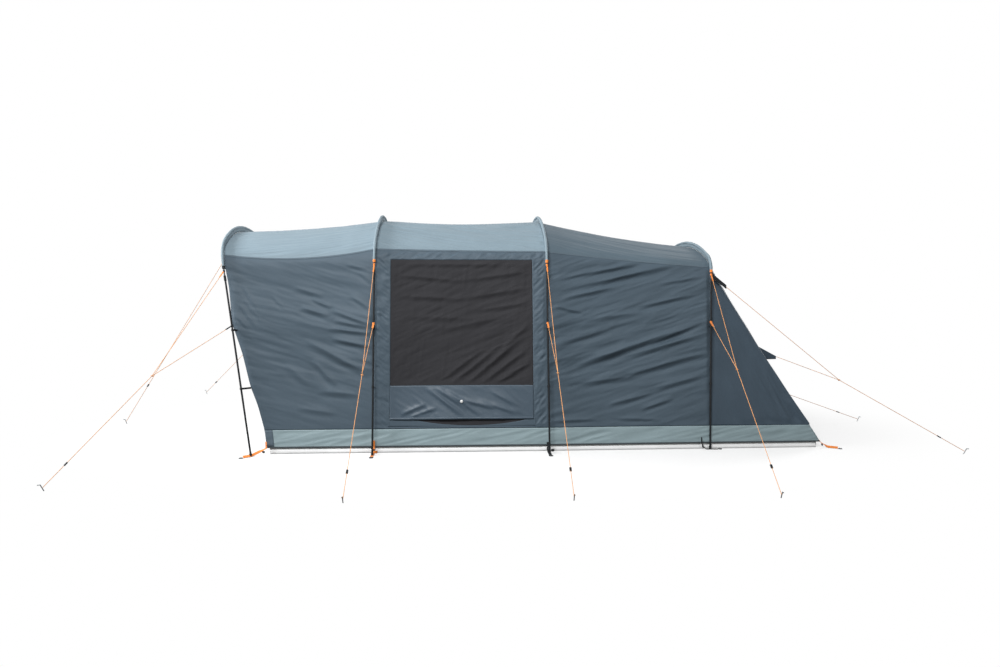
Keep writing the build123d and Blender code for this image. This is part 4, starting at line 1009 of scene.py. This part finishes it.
for number, (start, foot, height, raisedShare, turned) in enumerate(straps["places"], 1):
    for side, sign in (("near", 1), ("far", -1)):
        begin, end = np.array([start[0], start[1] * sign, 0]), np.array([foot[0], foot[1] * sign, 0])
        reach, up = np.linalg.norm(end - begin), np.array([0, 0, 1])
        along = (end - begin) / reach
        tilt = math.radians(straps["lean"] * turned)
        resting = straps["width"] / 2 * math.sin(tilt) + straps["offGround"]
        path = [begin + along * out + up * rise for out, rise in (
            (straps["offHem"], height), (straps["offHem"], straps["bend"]),
            (raisedShare * reach, resting + straps["slack"]), (reach + straps["looseEnd"], resting),
        )]
        ease = smooth((np.linspace(0, 1, ribbonCount(path)) - 0.25) / 0.25)[:, None]
        flatWay = np.cross(along, up) * (-1 if side == "near" and np.cross(along, up)[1] > 0 else 1)
        sideways = unit(flatWay * np.cos(tilt * ease) - up * np.sin(tilt * ease))
        material = "blackWebbing" if number in straps["dark"] else "orangeWebbing"
        ribbon(f"{side}FootStrap{number}", path, sideways, straps["width"], material, ["foot_straps"])
        if number in straps["curled"]:  # beside the foot
            turns = np.linspace(*curls["turns"])
            lift = curls["low"] + curls["rise"] * np.maximum(0, np.cos(turns / 2))
            outTo = curls["aside"] - curls["depth"] * np.cos(turns)
            curl = end + grid(curls["aside"] + curls["length"] * np.sin(turns), sign * outTo, lift)
            ribbon(f"{side}StrapEnd{number}", curl, (0, 0, 1), curls["width"], material)

for number, hoop in enumerate(hoops, 1):
    length, material = legLength(hoop), "blackWebbing" if number == 1 else "orangeWebbing"
    for side, sign in (("near", -1), ("far", 1)):
        places = {"Upper": length - tabs["drop"], "Lower": tabs["along"]}
        for (level, alongLeg), top in zip(places.items(), guyRuns[side + str(number)][3:]):
            anchor, top = legPoint(hoop, sign, alongLeg), np.array(top)
            along = unit(top - anchor)
            sideways = unit(np.array([1.0, 0, 0]) - along * along[0])
            cloth = "orangeWebbing" if level == "Upper" else material
            path = [anchor + along * tabs["start"], top]
            ribbon(f"{side}Tab{level}{number}", path, sideways, tabs[level]["width"], cloth, ["guy_tabs"])
            low, high = alongLeg - tabs["loopHalf"], alongLeg + tabs["loopHalf"]
            poleBand(f"{side}TabLoop{level}{number}", hoop, sign, low, high, tabs[level]["radius"], material)
        low, high = (length + away for away in tabs["cuff"])
        poleBand(f"{side}SleeveCuff{number}", hoop, sign, low, high, tabs["cuffRadius"], material)
crown = stood(hoops[0], np.array([[0, hoops[0]["crown"]]]))[0]
shoulder = legPoint(hoops[3], -1, legLength(hoops[3]) - tabs["drop"])
lowPoint = np.array([tailX(tabs["tailHeight"]) + tabs["tailStand"], 0, tabs["tailHeight"]])
endTabs = {  # start, gap after it, end, the way across, width, webbing
    "frontTab": (crown, 0.011, guyRuns["front"][1], (0, 1, 0), 0.014, "blackWebbing"),
    "tailStrap": (shoulder, 0.010, guyRuns["tail"][3], (0, 0, 1), 0.032, "blackWebbing"),
    "tailLowTab": (lowPoint, 0.0, guyRuns["tailLow"][1], (0, 1, 0), 0.014, "orangeWebbing"),
}
for name, (start, gap, end, sideways, width, material) in endTabs.items():
    path = [start + unit(np.array(end) - start) * gap, end]
    ribbon(name, path, sideways, width, material, ["guy_tabs"])
print("webbing sewn")


# Finishes of the hard parts
finishes = {
    "pole_ferrules": "powderCoatedSteel", "peg_rings": "chromedSteel",
    "guy_pegs": "galvanisedSteel", "door_zip_slider": "zincSteel",
}
moulded = {"parts": ("pole_clips", "foot_buckles", "pole_feet"), "rounding": 0.0005}
for number in range(1, 5):
    finishes.update({f"hoop_{number}_rod": "blackGlassFibre", f"hoop_{number}_legs": "powderCoatedSteel"})
for name in moulded["parts"]:
    finishes[name] = "blackAcetal"
    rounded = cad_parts[name].modifiers.new("rounded", "BEVEL")
    rounded.width, rounded.segments, rounded.limit_method = moulded["rounding"], 2, "ANGLE"
for name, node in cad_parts.items():
    finish = "blackAcetal" if name.startswith("runner_") else finishes.get(name)
    if finish:
        node.data.materials.clear()
        node.data.materials.append(looks[finish])

# The knots where two branches meet a peg line
knots = {"size": 0.0026, "thickness": 0.0042, "points": 24}
turns = np.arange(knots["points"]) * 2 * math.pi / knots["points"]
loop = grid(np.sin(turns) + 2 * np.sin(2 * turns), np.cos(turns) - 2 * np.cos(2 * turns), -1.4 * np.sin(3 * turns))
for name, run in guyRuns.items():
    if len(run) > 2:
        places = loop * knots["size"] + np.array(run[2])
        braid(name + "Knot", places, 4, knots["thickness"], "guy_links", closed=True)
print("hard parts finished")


# Floor, light and background
studio = {
    "floor": "#626262",  # throws back less light than white paper would
    "seenFloor": (0.95, 0.95, 0.95, 1),  # what the camera sees of it
    "floorHalf": 60, "floorDepth": -0.0005,
    "fill": 0.20,
    "shadow": (2.9, 1.7),  # half length and half depth of the shadowed floor
    "shadowFade": (0.75, 1.35), "paleness": (0.45, 1.0),  # where its fading starts and ends, and how pale it is there
    "boxes": {  # place, what it faces, width and height in metres, watts
        "frontSoftbox": ((-1.6, -4.9, 4.9), (0.2, -0.9, 1.0), 2.5, 1.5, 320.0),
        "sideSoftbox": ((-7.5, -3.2, 3.2), (-0.6, -0.9, 1.0), 2.0, 2.0, 230.0),
        "topSoftbox": ((-7.0, 0.0, 4.8), (-1.2, -0.2, 1.6), 2.5, 2.5, 440.0),
        "backSoftbox": ((6.8, 4.6, 4.2), (0.3, 0.3, 1.0), 3.0, 3.0, 360.0),
        "tailFill": ((4.5, -7.0, 2.2), (1.8, -0.6, 0.7), 2.0, 2.0, 45.0),
    },
}
white = (1, 1, 1, 1)


def freshTree(owner):
    owner.use_nodes = True
    owner.node_tree.nodes.clear()
    return owner.node_tree, addNode(owner.node_tree, "ShaderNodeLightPath").outputs


def mixTo(tree, output, share, first, second):
    mixed = addNode(tree, "ShaderNodeMixShader", {}, {0: share, 1: first.outputs[0], 2: second.outputs[0]})
    addNode(tree, output, {}, {"Surface": mixed.outputs[0]})


reach = studio["floorHalf"]
floorMesh = bpy.data.meshes.new("studioFloor")
corners = [(x * reach, y * reach, studio["floorDepth"]) for x, y in ((-1, -1), (1, -1), (1, 1), (-1, 1))]
floorMesh.from_pydata(corners, [], [(0, 1, 2, 3)])
floor = bpy.data.objects.new("studioFloor", floorMesh)
scene.collection.objects.link(floor)
paper = bpy.data.materials.new("whitePaperFloor")  # matte, shaded near the tent and bare white further off
tree, ray = freshTree(paper)
shade = blend(tree, ray["Is Camera Ray"], linear(studio["floor"]), studio["seenFloor"])
matte = addNode(tree, "ShaderNodeBsdfDiffuse", {}, {"Color": shade})
glow = addNode(tree, "ShaderNodeEmission", {"Color": white, "Strength": 1.0})
place = addNode(tree, "ShaderNodeTexCoord").outputs["Object"]
shrink = {"operation": "MULTIPLY", 1: (1 / studio["shadow"][0], 1 / studio["shadow"][1], 0)}
away = addNode(tree, "ShaderNodeVectorMath", shrink, {0: place}).outputs[0]
away = addNode(tree, "ShaderNodeVectorMath", {"operation": "LENGTH"}, {0: away}).outputs["Value"]
span = dict(zip(("From Min", "From Max", "To Min", "To Max"), studio["shadowFade"] + studio["paleness"]))
pale = addNode(tree, "ShaderNodeMapRange", {"interpolation_type": "SMOOTHSTEP", **span}, {0: away}).outputs[0]
mixTo(tree, "ShaderNodeOutputMaterial", mathOf(tree, "MULTIPLY", pale, ray["Is Camera Ray"]), matte, glow)
floorMesh.materials.append(paper)

scene.world = bpy.data.worlds.new("studioWhite")
tree, ray = freshTree(scene.world)
soft, bright = (
    addNode(tree, "ShaderNodeBackground", {"Color": white, "Strength": strength}) for strength in (studio["fill"], 1.0)
)
mirrored = mathOf(tree, "ADD", ray["Is Camera Ray"], ray["Is Glossy Ray"])
shown = mathOf(tree, "ADD", mirrored, ray["Is Transmission Ray"], use_clamp=True)
mixTo(tree, "ShaderNodeOutputWorld", shown, soft, bright)

for name, (place, target, width, height, watts) in studio["boxes"].items():
    lamp = bpy.data.lights.new(name, "AREA")
    lamp.shape = "RECTANGLE"
    lamp.size, lamp.size_y, lamp.energy = width, height, watts
    holder = bpy.data.objects.new(name, lamp)
    holder.location = place
    holder.rotation_euler = (Vector(target) - Vector(place)).to_track_quat("-Z", "Y").to_euler()
    scene.collection.objects.link(holder)
print("studio lit")
